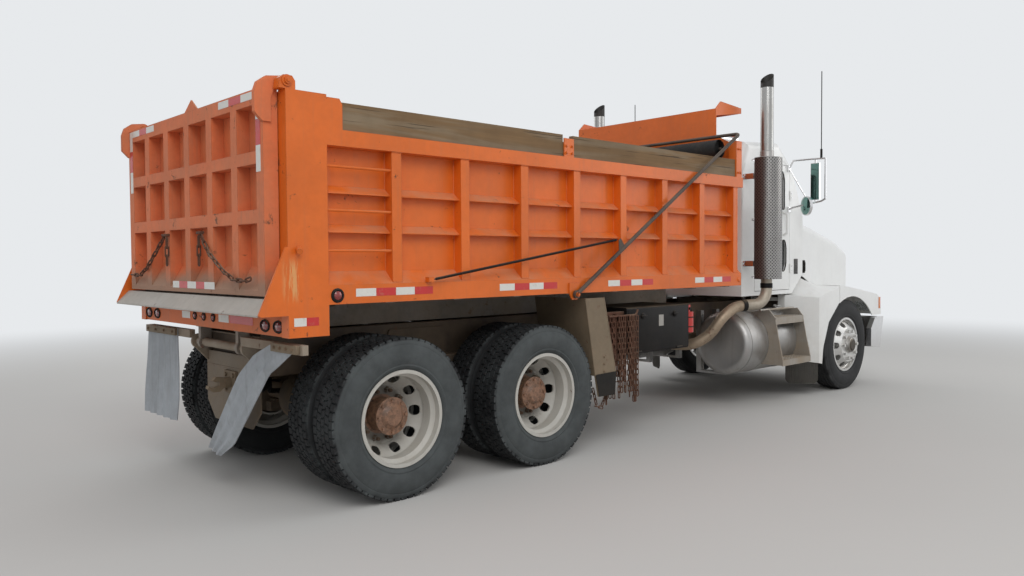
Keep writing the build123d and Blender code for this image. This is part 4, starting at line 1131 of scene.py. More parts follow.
@dataclass
class RoadWheels:
    """All tyres and the small parts on the rims."""

    nodes: dict[str, bpy.types.Object]
    twin_y: tuple[float, float] = (0.749, 1.079)
    steer_y: float = 1.03
    nut_ring: float = 0.168
    nut_plane: float = 0.925

    def tyres(self) -> None:
        """Replaces the plain tyres."""
        for side, name in SIDES:
            for row, station in DRIVEN_AXLES:
                form = Form()
                for y in self.twin_y:
                    RoadTyre(station, side * y).build(form)
                finish = TyreFinish(f"tyre_rubber_{row}", tint(0.1, 0.1, 0.105), station=station,
                    wall_dust=0.6, dust_colour=tint(0.4, 0.42, 0.42))
                piece = form.piece(f"treaded_tyres_{row}_{name}", finish, "tyre",
                    f"rear_wheels_{row}_{name}", recalc=True)
                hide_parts(f"tyres_{row}_{name}")
            form = Form()
            RoadTyre(WHEELBASE, side * self.steer_y, steer=True).build(form)
            finish = TyreFinish("tyre_rubber_front", tint(0.09, 0.09, 0.095), station=WHEELBASE,
                wall_dust=0.3, dust_colour=tint(0.36, 0.36, 0.36))
            piece = form.piece(f"ribbed_tyre_{name}", finish, "tyre", f"front_wheel_{name}", recalc=True)
            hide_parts(f"tyre_front_{name}")

    def rims(self) -> None:
        """Gives the discs their ringed finishes."""
        for _, name in SIDES:
            for row, station in DRIVEN_AXLES:
                finish = WheelFinish(f"rear_rim_{row}", tint(0.74, 0.73, 0.7), 0.45, mottle=0.06, dust=0.08,
                    dust_top=0.2, streaks=0.12, rust=0.03, station=station,
                    hub_colour=tint(0.56, 0.41, 0.32))
                dress(self.nodes[f"wheels_{row}_{name}"], finish)
            finish = WheelFinish("front_rim", (0.74, 0.74, 0.73), 0.28, 1.0, mottle=0.05, dust=0.12,
                dust_top=0.2, station=WHEELBASE, hub_radius=0.075, grease_radius=0.09,
                hub_colour=tint(0.25, 0.24, 0.23))
            dress(self.nodes[f"wheel_front_{name}"], finish)

    def nuts(self) -> None:
        """Rusty capped nuts on the discs of the driven wheels."""
        for side, name in SIDES:
            for row, station in DRIVEN_AXLES:
                form = Form()
                hub = spot(station, side * self.nut_plane, HUB_Z)
                place = hub + Vector((self.nut_ring, 0, 0))
                form.rod(place, place + Vector((0, side * 0.03, 0)), 0.0215, 6)
                cap, end = (place + Vector((0, side * reach, 0)) for reach in (0.029, 0.058))
                form.rod(cap, end, 0.015, 14, tip=0.011, bevel=0.003)
                form.repeated(10, math.radians(36), hub, (0, 1, 0))
                form.piece(f"capped_nuts_{row}_{name}", NUT_RUST, "rear_rim", f"rear_wheels_{row}_{name}")

    def build(self) -> None:
        """Builds tyres, rims and nuts."""
        self.tyres()
        self.rims()
        self.nuts()


class Tape(Enum):
    """Colours of reflective tape, each with the place where it first comes in a strip."""

    WHITE = 0
    RED = 1

    def finish(self) -> Finish:
        """Finish of this colour."""
        return (TAPE_WHITE, TAPE_RED)[self.value]

    def named(self, strip: str) -> str:
        """Name of a strip's piece in this colour."""
        return f"{strip}_{self.name.lower()}"


@dataclass
class TippingBody:
    """Tapes, lamps, bolts, welds and shelves of the tipping body and its gate."""

    side_y: float = 1.22
    gate_x: float = -0.93
    bar_x: float = -0.82
    rib_stations: tuple[float, ...] = (-0.048, 0.53, 1.107, 1.684, 2.261, 2.838, 3.415, 3.99)
    rib_half: float = 0.0395
    rib_z: tuple[float, float] = (1.53, 2.285)
    gate_pin: tuple[float, float] = (-0.82, 2.636)
    # Station and height of each bolt in the plank brackets
    bracket_bolts: tuple[tuple[float, float], ...] = ((1.552, 2.415), (1.552, 2.47), (1.618, 2.415),
        (1.618, 2.47), (4.02, 2.43), (4.06, 2.43), (4.02, 2.66), (4.06, 2.66))
    # Inner and outer skin of a tape, off the surface that carries it
    tape_skin: tuple[float, float] = (0.0002, 0.0016)
    tape_edge: float = 0.0004
    # Start of each strip on the bottom rail, which has four lengths of tape
    rail_strips: tuple[float, ...] = (-0.37, 0.84, 2.05, 3.29)
    rail_z: tuple[float, float] = (1.361, 1.411)
    length: float = 0.149
    step: float = 0.151
    # Start of the white and of the red length on each rear post, measured rearwards
    post_strips: tuple[float, float] = (0.796, 0.713)
    post_z: tuple[float, float] = (1.197, 1.247)
    post_length: float = 0.081
    # Each strip of the gate: whether it is upright, its two edges, and the cuts between white and red
    gate_strips: tuple[tuple[bool, float, float, tuple[float, ...]], ...] = (
        (False, 2.545, 2.59, (-0.53, -0.68, -0.85, -1.035)),
        (True, -1.1, -1.042, (2.59, 2.42, 2.268, 2.112)),
        (False, 2.545, 2.59, (0.59, 0.745, 0.89, 1.04)),
        (True, 1.046, 1.1, (2.59, 2.44, 2.28, 2.12)),
        (False, 1.405, 1.452, (0.28, 0.165, 0.02, -0.126, -0.263, -0.424)))
    # White lengths of the light bar, then its red one
    bar_strips: tuple[tuple[tuple[float, float], ...], ...] = (
        ((0.262, 0.408), (-0.38, -0.222)), ((-0.735, -0.395),))
    bar_z: tuple[float, float] = (1.18, 1.23)

    def side_tapes(self, tape: Tape) -> None:
        """Tape of one colour along both bottom rails and on the rear posts.

        Args:
            tape: Its colour.
        """
        form = Form()
        for side, _ in SIDES:
            near, far = sorted(side * (self.side_y + skin) for skin in self.tape_skin)
            for start in self.rail_strips:
                for number in (tape.value, tape.value + 2):
                    low = REAR_AXLE_X + start + number * self.step
                    form.block((low, near, self.rail_z[0]), (low + self.length, far, self.rail_z[1]),
                        self.tape_edge, 1)
            low = REAR_AXLE_X - self.post_strips[tape.value]
            form.block((low, near, self.post_z[0]), (low + self.post_length, far, self.post_z[1]),
                self.tape_edge, 1)
        form.piece(tape.named("rail_tape"), tape.finish(), "body_orange", "tipping_body")

    def rear_tapes(self, tape: Tape) -> None:
        """Tape of one colour on the gate's edges and on the light bar under it.

        Args:
            tape: Its colour.
        """
        near, far = self.tape_skin
        face = REAR_AXLE_X + self.gate_x
        form = Form()
        for upright, *edges, cuts in self.gate_strips:
            for ends in list(zip(cuts, cuts[1:]))[tape.value::2]:
                (left, right), (low, high) = (edges, ends) if upright else (ends, edges)
                form.block((face - far, left, low), (face - near, right, high), self.tape_edge, 1)
        form.piece(tape.named("gate_tape"), tape.finish(), "body_orange", "swinging_tailgate")
        form = Form()
        face = REAR_AXLE_X + self.bar_x
        low, high = self.bar_z
        for left, right in self.bar_strips[tape.value]:
            form.block((face - far, left, low), (face - near, right, high), self.tape_edge, 1)
        form.piece(tape.named("light_bar_tape"), tape.finish(), "body_orange", "tipping_body")

    def lamps(self) -> None:
        """Round markers on the posts, small lamps and oval tail lamps on the light bar."""
        lenses, seats = Form(), Form()
        face = REAR_AXLE_X + self.bar_x
        rounds = [(spot(-0.502, side * self.side_y, 1.373), (0, side, 0), 1.0) for side, _ in SIDES]
        rounds += [(Vector((face, y, 1.205)), (-1, 0, 0), 0.7) for y in (0.175, 0.021, -0.135)]
        for centre, out, size in rounds:
            lenses.turned([(0.0, 0.001), (0.016 * size, 0.001), (0.014 * size, 0.018 * size),
                (0.008 * size, 0.027 * size), (0.0, 0.029 * size)], centre, out, 32)
            seats.turned([(0.0, 0.029 * size), (0.01 * size, 0.03 * size), (0.012 * size, 0.036 * size),
                (0.006 * size, 0.044 * size), (0.0, 0.045 * size)], centre, out, 32)
        for side, _ in SIDES:
            for y in (0.9, 1.07):
                for form, outline in ((seats, [(0.0, 0.032), (0.008, 0.033), (0.008, 0.039), (0.0, 0.042)]),
                        (lenses, [(0.0, 0.001), (0.01, 0.001), (0.007, 0.024), (0.0, 0.032)])):
                    part = Form()
                    part.turned(outline, (0, 0, 0), (-1, 0, 0), 40)
                    bmesh.ops.scale(part.mesh, verts=part.mesh.verts, vec=(1, 1.5, 0.95))
                    bmesh.ops.translate(part.mesh, verts=part.mesh.verts, vec=(face, side * y, 1.19))
                    form.take(part)
        lenses.piece("marker_lenses", LENS_RED, "lamp_lens", "tipping_body", recalc=True)
        seats.piece("marker_seats", RUBBER, "black_rubber", "tipping_body", recalc=True)

    def bolts(self) -> None:
        """Bolts of the plank brackets, the tarp pivots and the gate's hinge caps."""
        form = Form()
        for side, _ in SIDES:
            out = (0, side, 0)
            for station, z in self.bracket_bolts:
                form.nut(spot(station, side * (self.side_y + 0.0002), z), out, 0.011, 0.008)
            form.turned([(0.0, 0.001), (0.012, 0.001), (0.012, 0.02), (0.0, 0.03)],
                spot(4.04, side * self.side_y, 1.38), out, 24)
            form.nut(spot(1.63, side * 1.263, 1.31), out, 0.02, 0.012)
            form.nut(spot(self.gate_pin[0], side * 1.228, self.gate_pin[1]), out, 0.022, 0.012)
        form.piece("body_bolts", BED_PAINT, "body_orange", "tipping_body", recalc=True)

    def welds(self) -> None:
        """Weld beads where the ribs meet the side sheet and the rails."""
        form = Form()
        for side, _ in SIDES:
            for station in self.rib_stations:
                for edge in (-self.rib_half, self.rib_half):
                    foot, top = (spot(station + edge, side * 1.132, z) for z in self.rib_z)
                    form.rod(foot, top, 0.0045, 6)
                for z in (1.447, 2.284):
                    rear, front = (spot(station + reach, side * 1.2115, z) for reach in (-0.036, 0.036))
                    form.rod(rear, front, 0.005, 6)
        form.piece("body_welds", BED_PAINT, "body_orange", "tipping_body")

    def bay_shelves(self) -> None:
        """Folded shelves in the first bay, between the post and the first rib."""
        form = Form()
        section = ((1.1305, 0.0), (1.192, 0.048), (1.192, 0.054), (1.1305, 0.04))
        for top in (2.052, 1.812):
            form.plate([spot(-0.559, y, top - drop) for y, drop in section], (0.472, 0, 0), 0.001)
        form.mirrored()
        form.piece("bay_shelves", BED_PAINT, "body_orange", "tipping_body", recalc=True)

    def gate_stops(self) -> None:
        """Flat bars inside the posts that the closed gate rests near."""
        form = Form()
        form.block(spot(-0.829, 1.095, 1.44), spot(-0.805, 1.1215, 2.585), 0.002)
        form.mirrored()
        form.piece("gate_stops", BED_PAINT, "body_orange", "tipping_body")

    def build(self) -> None:
        """Builds the body's fittings."""
        for tape in Tape:
            self.side_tapes(tape)
            self.rear_tapes(tape)
        self.lamps()
        self.bolts()
        self.welds()
        self.gate_stops()
        self.bay_shelves()


@dataclass
class TarpGear:
    """Long springs of the tarp bow and the rolled tarp."""

    spring_rear: Point = (0.215, 1.251, 1.457)
    spring_front: Point = (2.135, 1.251, 1.747)
    coils: int = 150
    bow_pivot: tuple[float, float] = (1.63, 1.31)
    bow_top: tuple[float, float] = (4.0, 2.805)
    bow_radius: float = 0.0165
    roll_centre: tuple[float, float] = (3.905, 2.668)
    roll_radius: float = 0.093
    roll_half: float = 1.085
    cloth_gap: float = 0.0052
    cloth_swell: float = 0.0006
    turns: int = 15

    def springs(self) -> None:
        """Extension springs from the body to the plates on the bow."""
        form = Form()
        for side, _ in SIDES:
            low, high = (spot(x, side * y, z) for x, y, z in (self.spring_rear, self.spring_front))
            length = (high - low).length
            pitch = (length - 0.04) / self.coils
            outline = [(0.0, 0.0008), (0.012, 0.004)]
            for number in range(self.coils):
                outline += [(0.02 + pitch * number, 0.0085), (0.02 + pitch * (number + 0.5), 0.0108)]
            outline += [(length - 0.012, 0.004), (length, 0.0008)]
            form.turned(outline, low, high - low, 10, closed=False)
        piece = form.piece("bow_springs", BLACK_STEEL, "black_steel", "tipping_body", recalc=True)
        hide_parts("tarp_springs")
        run = spot(*self.spring_front) - spot(*self.spring_rear)
        tuple(spot(self.spring_rear[0], 0.0, self.spring_rear[2]))
        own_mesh(piece)

    def bow(self) -> None:
        """Bent tube from pivot to pivot over the tarp, with a plate where each spring hooks in."""
        form = Form()
        (pivot_x, pivot_z), (top_x, top_z) = self.bow_pivot, self.bow_top
        y = self.spring_rear[1]
        corners = ((pivot_x, -y, pivot_z), (top_x, -y, top_z), (top_x, y, top_z), (pivot_x, y, pivot_z))
        form.tube([spot(*corner) for corner in corners], self.bow_radius, 0.06, 18, 8)
        for side, _ in SIDES:
            form.band(spot(pivot_x, side * y, pivot_z), (0, 1, 0), (-0.009, 0.009), (0.0185, 0.033), 36)
            outline = ((2.15, 1.655), (2.145, 1.742), (2.172, 1.758), (2.225, 1.69))
            form.plate([spot(station, side * y, z) for station, z in outline], (0, side * 0.006, 0), 0.001)
        piece = form.piece("bow_tubes", ARM_STEEL, "arm_tube", "tarp_bow", recalc=True)
        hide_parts("tarp_arms")

    def roll(self) -> None:
        """Tarp wound loosely on its axle: one long sheet rolled into a spiral."""
        form = Form()
        steps, rows = 22, 15
        bmesh.ops.create_grid(form.mesh, x_segments=self.turns * steps, y_segments=rows, size=0.5)
        centre_x, centre_z = self.roll_centre
        centre = spot(centre_x, 0, centre_z)
        rng = random.Random(11)
        waves = [(rng.uniform(1.5, 6.0), rng.uniform(0, 6.28), rng.uniform(0.2, 1.0)) for _ in range(5)]
        start = self.roll_radius - self.cloth_gap * self.turns
        for vert in form.mesh.verts:
            angle = (vert.co.x + 0.5) * self.turns * 2 * math.pi
            y = vert.co.y * self.roll_half * 2
            swell = self.cloth_swell * sum(
                size * math.sin(rate * y + shift + angle * 0.5) for rate, shift, size in waves)
            radius = start + self.cloth_gap * angle / (2 * math.pi) + swell
            vert.co = centre + Vector((math.cos(angle) * radius, y, math.sin(angle) * radius))
        piece = form.piece("rolled_tarp", TARP_CLOTH, "tarp", "tipping_body", smooth=3.0)
        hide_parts("tarp_roll")
        axle = Form()
        axle.rod(spot(centre_x, -1.1, centre_z), spot(centre_x, 1.1, centre_z), 0.0125, 16)
        axle.piece("tarp_axle", ARM_STEEL, "black_steel", "tipping_body")

    def build(self) -> None:
        """Builds the tarp's gear."""
        self.bow()
        self.springs()
        self.roll()


@dataclass
class Exhaust:
    """Both exhausts: bent pipes, mufflers, stacks with dark mitred tips."""

    stack: tuple[float, float] = (4.69, 1.15)
    pipe_radius: float = 0.057
    stack_radius: float = 0.0665
    shield_z: tuple[float, float] = (1.369, 2.631)
    band_radii: tuple[float, float] = (0.1505, 0.1545)
    tip_z: float = 3.36
    mitre_z: float = 3.46
    tip_top: float = 3.54
    clamp_radii: tuple[float, float] = (0.058, 0.0625)
    # Corners of the pipe from the muffler down and rearwards, then to the engine; y is on the left side
    elbow: tuple[Point, ...] = ((4.69, 1.15, 1.4), (4.69, 1.15, 1.2), (4.6, 1.125, 1.105),
        (4.4, 1.05, 1.098))
    tail: tuple[Point, ...] = ((4.41, 1.053, 1.098), (4.3, 1.02, 1.085), (4.13, 0.985, 1.0),
        (4.03, 0.89, 0.8), (3.93, 0.75, 0.7), (3.9, 0.4, 0.692), (3.93, 0.285, 0.69), (5.925, 0.285, 0.69),
        (5.925, 0.285, 0.9))

    def both_sides(self, form: Form, name: str, finish: Finish, slot: str) -> bpy.types.Object:
        """Mirrors a left-hand form and ends it as a piece on the chassis.

        Args:
            form: The form.
            name: Name of the piece.
            finish: Its finish.
            slot: The record's material slot.

        Returns:
            The piece's object.
        """
        form.mirrored()
        return form.piece(name, finish, slot, recalc=True)

    def pipes(self) -> None:
        """Silver elbow under the muffler, brown pipe to the engine, and their clamps."""
        form = Form()
        form.tube([spot(*point) for point in self.elbow], self.pipe_radius, 0.16, 28, 8)
        self.both_sides(form, "exhaust_elbows", DULL_PIPE, "chrome")
        form = Form()
        form.tube([spot(*point) for point in self.tail], self.pipe_radius - 0.001, 0.14, 24, 6)
        piece = self.both_sides(form, "exhaust_pipes", PIPE_STEEL, "chrome")
        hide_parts("exhausts")
        form = Form()
        along = spot(*self.elbow[-1]) - spot(*self.elbow[-2])
        for point, axis in ((self.elbow[-1], along), ((4.69, 1.15, 1.3), Vector((0, 0, 1)))):
            form.band(spot(*point), axis, (-0.025, 0.025), self.clamp_radii, 40)
            low, high = (spot(*point) + Vector(corner)
                for corner in ((-0.03, -0.012, 0.06), (0.03, 0.012, 0.082)))
            form.block(low, high, 0.003)
        self.both_sides(form, "exhaust_clamps", BLACK_STEEL, "black_steel")

    def stacks(self) -> None:
        """Muffler drum with its domed ends and the chromed stack, open at the mitre."""
        base = spot(*self.stack, 0)
        form = Form()
        form.turned([(1.372, 0.0575), (1.38, 0.085), (1.398, 0.12), (1.42, 0.1275), (2.58, 0.1275),
            (2.602, 0.12), (2.622, 0.088), (2.63, 0.0675)], base, (0, 0, 1), 56, closed=False)
        form.turned([(2.625, 0.0665), (2.625, 0.079), (2.64, 0.0795), (2.648, 0.072), (2.66, 0.0712),
            (2.7, 0.0712), (2.705, 0.0665)], base, (0, 0, 1), 48)
        self.both_sides(form, "mufflers", STACK_CHROME, "chrome")
        mitre = Vector((-0.136, 0, 0.16)).normalized()
        for name, run, finish in (("stack_pipes", (2.62, self.tip_z), STACK_PIPE),
                ("stack_tips", (self.tip_z, self.tip_top), SOOT)):
            form = Form()
            form.band(base, (0, 0, 1), run, (self.stack_radius - 0.003, self.stack_radius), 48)
            bmesh.ops.bisect_plane(form.mesh, geom=form.whole(), plane_co=spot(*self.stack, self.mitre_z),
                plane_no=mitre, clear_outer=True)
            self.both_sides(form, name, finish, "chrome")

    def brackets(self) -> None:
        """Bands round the shield, and standoffs to the cab with their nuts."""
        form = Form()
        for z in (self.shield_z[0] + 0.006, 1.985, self.shield_z[1] - 0.026):
            form.band(spot(*self.stack, z), (0, 0, 1), (0.0, 0.02), self.band_radii, 48)
        for z in (1.53, 2.45):
            form.block(spot(4.6, 0.915, z - 0.03), spot(4.64, 1.045, z + 0.03), 0.004)
            for shift in (-0.018, 0.018):
                form.nut(spot(4.6, 0.935, z + shift), (-1, 0, 0), 0.009, 0.006)
        self.both_sides(form, "stack_bands", CHROME, "chrome")

    def build(self) -> None:
        """Builds both exhausts."""
        self.pipes()
        self.stacks()
        self.brackets()


@dataclass
class Chains:
    """Round-link chains on the gate and on the rack behind the guard."""

    # Each row: (y, z) points of a chain on the gate's face, from its lug
    gate_routes: tuple[tuple[tuple[float, float], ...], ...] = (((0.387, 1.762), (0.574, 1.644),
        (0.731, 1.549), (0.891, 1.485), (1.074, 1.491)), ((-0.263, 1.762), (-0.375, 1.647), (-0.595, 1.527),
        (-0.753, 1.471), (-0.906, 1.467), (-1.029, 1.491)), ((0.335, 1.752), (0.338, 1.553)),
        ((-0.228, 1.752), (-0.225, 1.548)))
    gate_station: float = -0.948
    gate_pitch: float = 0.062
    # Length, width and wire of a link
    gate_link: Point = (0.088, 0.034, 0.0115)
    rack_pitch: float = 0.046
    rack_link: Point = (0.066, 0.031, 0.0095)
    rack_loop: tuple[Point, ...] = ((2.135, -1.12, 0.62), (2.105, -1.13, 0.42), (2.055, -1.135, 0.345),
        (2.0, -1.135, 0.36), (1.965, -1.12, 0.52))
    strands: int = 32
    strand_start: float = 2.118
    strand_run: float = 0.325
    strand_drop: tuple[float, float] = (0.5, 0.775)
    bar_z: float = 1.098

    def link(self, form: Form, centre: Vector, along: Vector, flat: Vector, size: Point) -> None:
        """One link: a ring of round wire drawn out along its long way.

        Args:
            form: Form that takes the link.
            centre: Middle of the link.
            along: Its long way.
            flat: Normal of its ring.
            size: Length, width and wire of the link.
        """
        length, width, wire = size
        ring = Form()
        radius = (width - wire) / 2
        start = (Matrix.Rotation(math.radians(18), 4, "Z") @ Matrix.Translation((radius, 0, 0))
            @ Matrix.Rotation(math.pi / 2, 4, "X"))
        bmesh.ops.create_circle(ring.mesh, segments=6, radius=wire / 2, matrix=start)
        bmesh.ops.spin(ring.mesh, geom=[*ring.mesh.verts, *ring.mesh.edges], cent=(0, 0, 0), axis=(0, 0, 1),
            angle=2 * math.pi, steps=10, use_merge=True)
        bmesh.ops.remove_doubles(ring.mesh, verts=ring.mesh.verts, dist=MERGE_DISTANCE)
        for vert in ring.mesh.verts:
            vert.co.y += math.copysign((length - width) / 2, vert.co.y)
        place = Matrix((flat.cross(along) * -1, along, flat)).transposed().to_4x4()
        bmesh.ops.transform(ring.mesh, matrix=Matrix.Translation(centre) @ place, verts=ring.mesh.verts)
        form.take(ring)

    def run(self, form: Form, route: Sequence[Vector], pitch: float, normal: Vector, size: Point) -> None:
        """Links along a route, each turned across the last.

        Args:
            form: Form that takes the links.
            route: Points of the chain.
            pitch: Distance from link to link.
            normal: Rough direction that every second link faces.
            size: Length, width and wire of a link.
        """
        spans = [end - start for start, end in zip(route, route[1:])]
        for number in range(int(sum(span.length for span in spans) / pitch)):
            distance = (number + 0.5) * pitch
            for start, span in zip(route, spans):
                if distance <= span.length:
                    break
                distance -= span.length
            along = span.normalized()
            facing = (normal - along * normal.dot(along)).normalized()
            flat = facing if number % 2 == 0 else along.cross(facing)
            self.link(form, start + along * distance, along, flat, size)

    def gate(self) -> None:
        """Spreader chains that hang across the gate."""
        form = Form()
        for route in self.gate_routes:
            line = [spot(self.gate_station, y, z) for y, z in route]
            self.run(form, line, self.gate_pitch, Vector((1, 0, 0)), self.gate_link)
        for low_y, high_y in ((0.32, 0.402), (-0.278, -0.214)):
            form.block(spot(-0.962, low_y, 1.768), spot(-0.93, high_y, 1.786), 0.003)
        piece = form.piece("gate_chain_links", CHAIN_RUST, "rusty_chain", "swinging_tailgate", recalc=True)
        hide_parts("tailgate_chains")

    def rack(self) -> None:
        """Bundles of binding chain hung over a bar behind the guard."""
        form = Form()
        rng = random.Random(5)
        form.block(spot(2.093, -1.12, 1.105), spot(2.377, -1.06, 1.135), 0.004)
        bar = [spot(2.11, -1.175, 1.104), spot(2.455, -1.188, 1.104), spot(2.48, -1.188, 1.15)]
        form.tube(bar, 0.009, 0.02, 10)
        form.rod(spot(2.24, -1.115, 1.118), spot(2.24, -1.178, 1.106), 0.008, 10)
        loop = [spot(*point) for point in self.rack_loop]
        self.run(form, loop, self.rack_pitch, Vector((0, 1, 0)), self.rack_link)
        for number in range(self.strands):
            share = number / (self.strands - 1)
            station = self.strand_start + self.strand_run * share + rng.uniform(-0.006, 0.006)
            y = -1.13 - 0.055 * min(1.0, share * 1.4) + rng.uniform(-0.03, 0.004 + 0.026 * (1.0 - share))
            drop = rng.uniform(*self.strand_drop)
            low = spot(station + rng.uniform(-0.012, 0.012), y + rng.uniform(-0.006, 0.006),
                self.bar_z - drop)
            turn = rng.uniform(0, math.pi)
            facing = Vector((math.cos(turn), math.sin(turn), 0))
            self.run(form, [spot(station, y, self.bar_z), low], self.rack_pitch, facing, self.rack_link)
        piece = form.piece("rack_chain_links", CHAIN_RUST, "rusty_chain", recalc=True)
        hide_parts("hanging_chains")

    def build(self) -> None:
        """Builds all chains."""
        self.gate()
        self.rack()


@dataclass
class MudFlaps:
    """Soft rubber flaps: two behind the rear wheels, two behind the front ones."""

    plane: float = -0.77
    thickness: float = 0.007
    front_top: float = 0.44
    front_low: float = 0.15
    corner_rise: float = 0.045
    ribs: int = 18
    rib_height: float = 0.0022
    # Two edges of each rear flap from top to bottom, (y, z, shift of its station)
    left_flap: tuple[tuple[Point, ...], ...] = (
        ((0.64, 1.083, 0.0), (0.626, 0.8, -0.006), (0.622, 0.55, -0.016), (0.64, 0.385, -0.028)),
        ((1.24, 1.083, 0.0), (1.262, 0.8, -0.006), (1.284, 0.55, -0.016), (1.262, 0.382, -0.028)))
    right_flap: tuple[tuple[Point, ...], ...] = (
        ((-1.226, 1.083, 0.0), (-0.985, 0.95, -0.003), (-0.836, 0.878, -0.005), (-0.57, 0.608, -0.008),
         (-0.31, 0.348, -0.008), (-0.09, 0.233, -0.008)),
        ((-0.905, 1.083, 0.0), (-0.64, 0.985, -0.003), (-0.42, 0.836, -0.005), (-0.25, 0.644, -0.008),
         (-0.07, 0.44, -0.008), (0.07, 0.272, -0.008)))

    def hung(self, form: Form, edges: Sequence[Sequence[Point]], folds: float, depth: float) -> None:
        """Sheet between two edges, with folds that run down it.

        Args:
            form: Form that takes the flap.
            edges: Its two edges as (y, z, station shift) points from top to bottom.
            folds: Number of folds across.
            depth: Depth of the folds.
        """
        sheet = Form()
        bmesh.ops.create_grid(sheet.mesh, x_segments=28, y_segments=24, size=0.5)
        rows = len(edges[0]) - 1
        for vert in sheet.mesh.verts:
            across, down = vert.co.x + 0.5, vert.co.y + 0.5
            row = min(int(down * rows), rows - 1)
            share = down * rows - row
            near, far = (Vector(edge[row]).lerp(Vector(edge[row + 1]), share) for edge in edges)
            y, z, shift = near.lerp(far, across)
            fold = math.sin(across * folds * 2 * math.pi + down * 1.3) * depth * min(1.0, down * 2.5)
            vert.co = spot(self.plane + shift + fold, y, z)
        bmesh.ops.recalc_face_normals(sheet.mesh, faces=sheet.mesh.faces)
        bmesh.ops.solidify(sheet.mesh, geom=sheet.mesh.faces, thickness=self.thickness)
        form.take(sheet)

    def front(self) -> None:
        """Ribbed flaps behind the front wheels, with rounded lower corners."""
        form = Form()
        inner, outer = spot(5.579, 0.886, 0), spot(5.796, 1.173, 0)
        sheet = Form()
        bmesh.ops.create_grid(sheet.mesh, x_segments=54, y_segments=12, size=0.5)
        out = (outer - inner).normalized().cross(Vector((0, 0, 1)))
        for vert in sheet.mesh.verts:
            across, down = vert.co.x + 0.5, vert.co.y + 0.5
            corner = max(0.0, abs(vert.co.x) * 2 - 0.7) / 0.3
            low = self.front_low + self.corner_rise * corner ** 2
            rib = self.rib_height * math.sin(across * self.ribs * 2 * math.pi)
            rise = Vector((0, 0, self.front_top + (low - self.front_top) * down))
            vert.co = inner.lerp(outer, across) + rise + out * rib
        bmesh.ops.solidify(sheet.mesh, geom=sheet.mesh.faces, thickness=self.thickness)
        form.take(sheet)
        form.mirrored()
        piece = form.piece("front_flaps", FRONT_FLAP, "black_rubber", recalc=True)
        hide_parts("mud_flaps")

    def rear(self) -> None:
        """Flaps on their crosswise bar, with a clamping strip and its bolts."""
        form = Form()
        self.hung(form, self.left_flap, 4.5, 0.011)
        form.piece("rear_flap_left", GREY_FLAP, "black_rubber", recalc=True)
        form = Form()
        self.hung(form, self.right_flap, 2.5, 0.009)
        form.piece("rear_flap_right", GREY_FLAP, "black_rubber", recalc=True)
        form = Form()
        for low_y, high_y in ((0.64, 1.245), (-1.225, -0.9)):
            form.block(spot(-0.79, low_y, 1.03), spot(-0.762, high_y, 1.084), 0.003)
            for number in range(4):
                y = low_y + 0.05 + (high_y - low_y - 0.1) * number / 3
                form.nut(spot(-0.79, y, 1.057), (-1, 0, 0), 0.011, 0.008)
        form.piece("flap_strips", BEIGE_PAINT, "beige_paint")

    def build(self) -> None:
        """Builds all flaps."""
        self.front()
        self.rear()


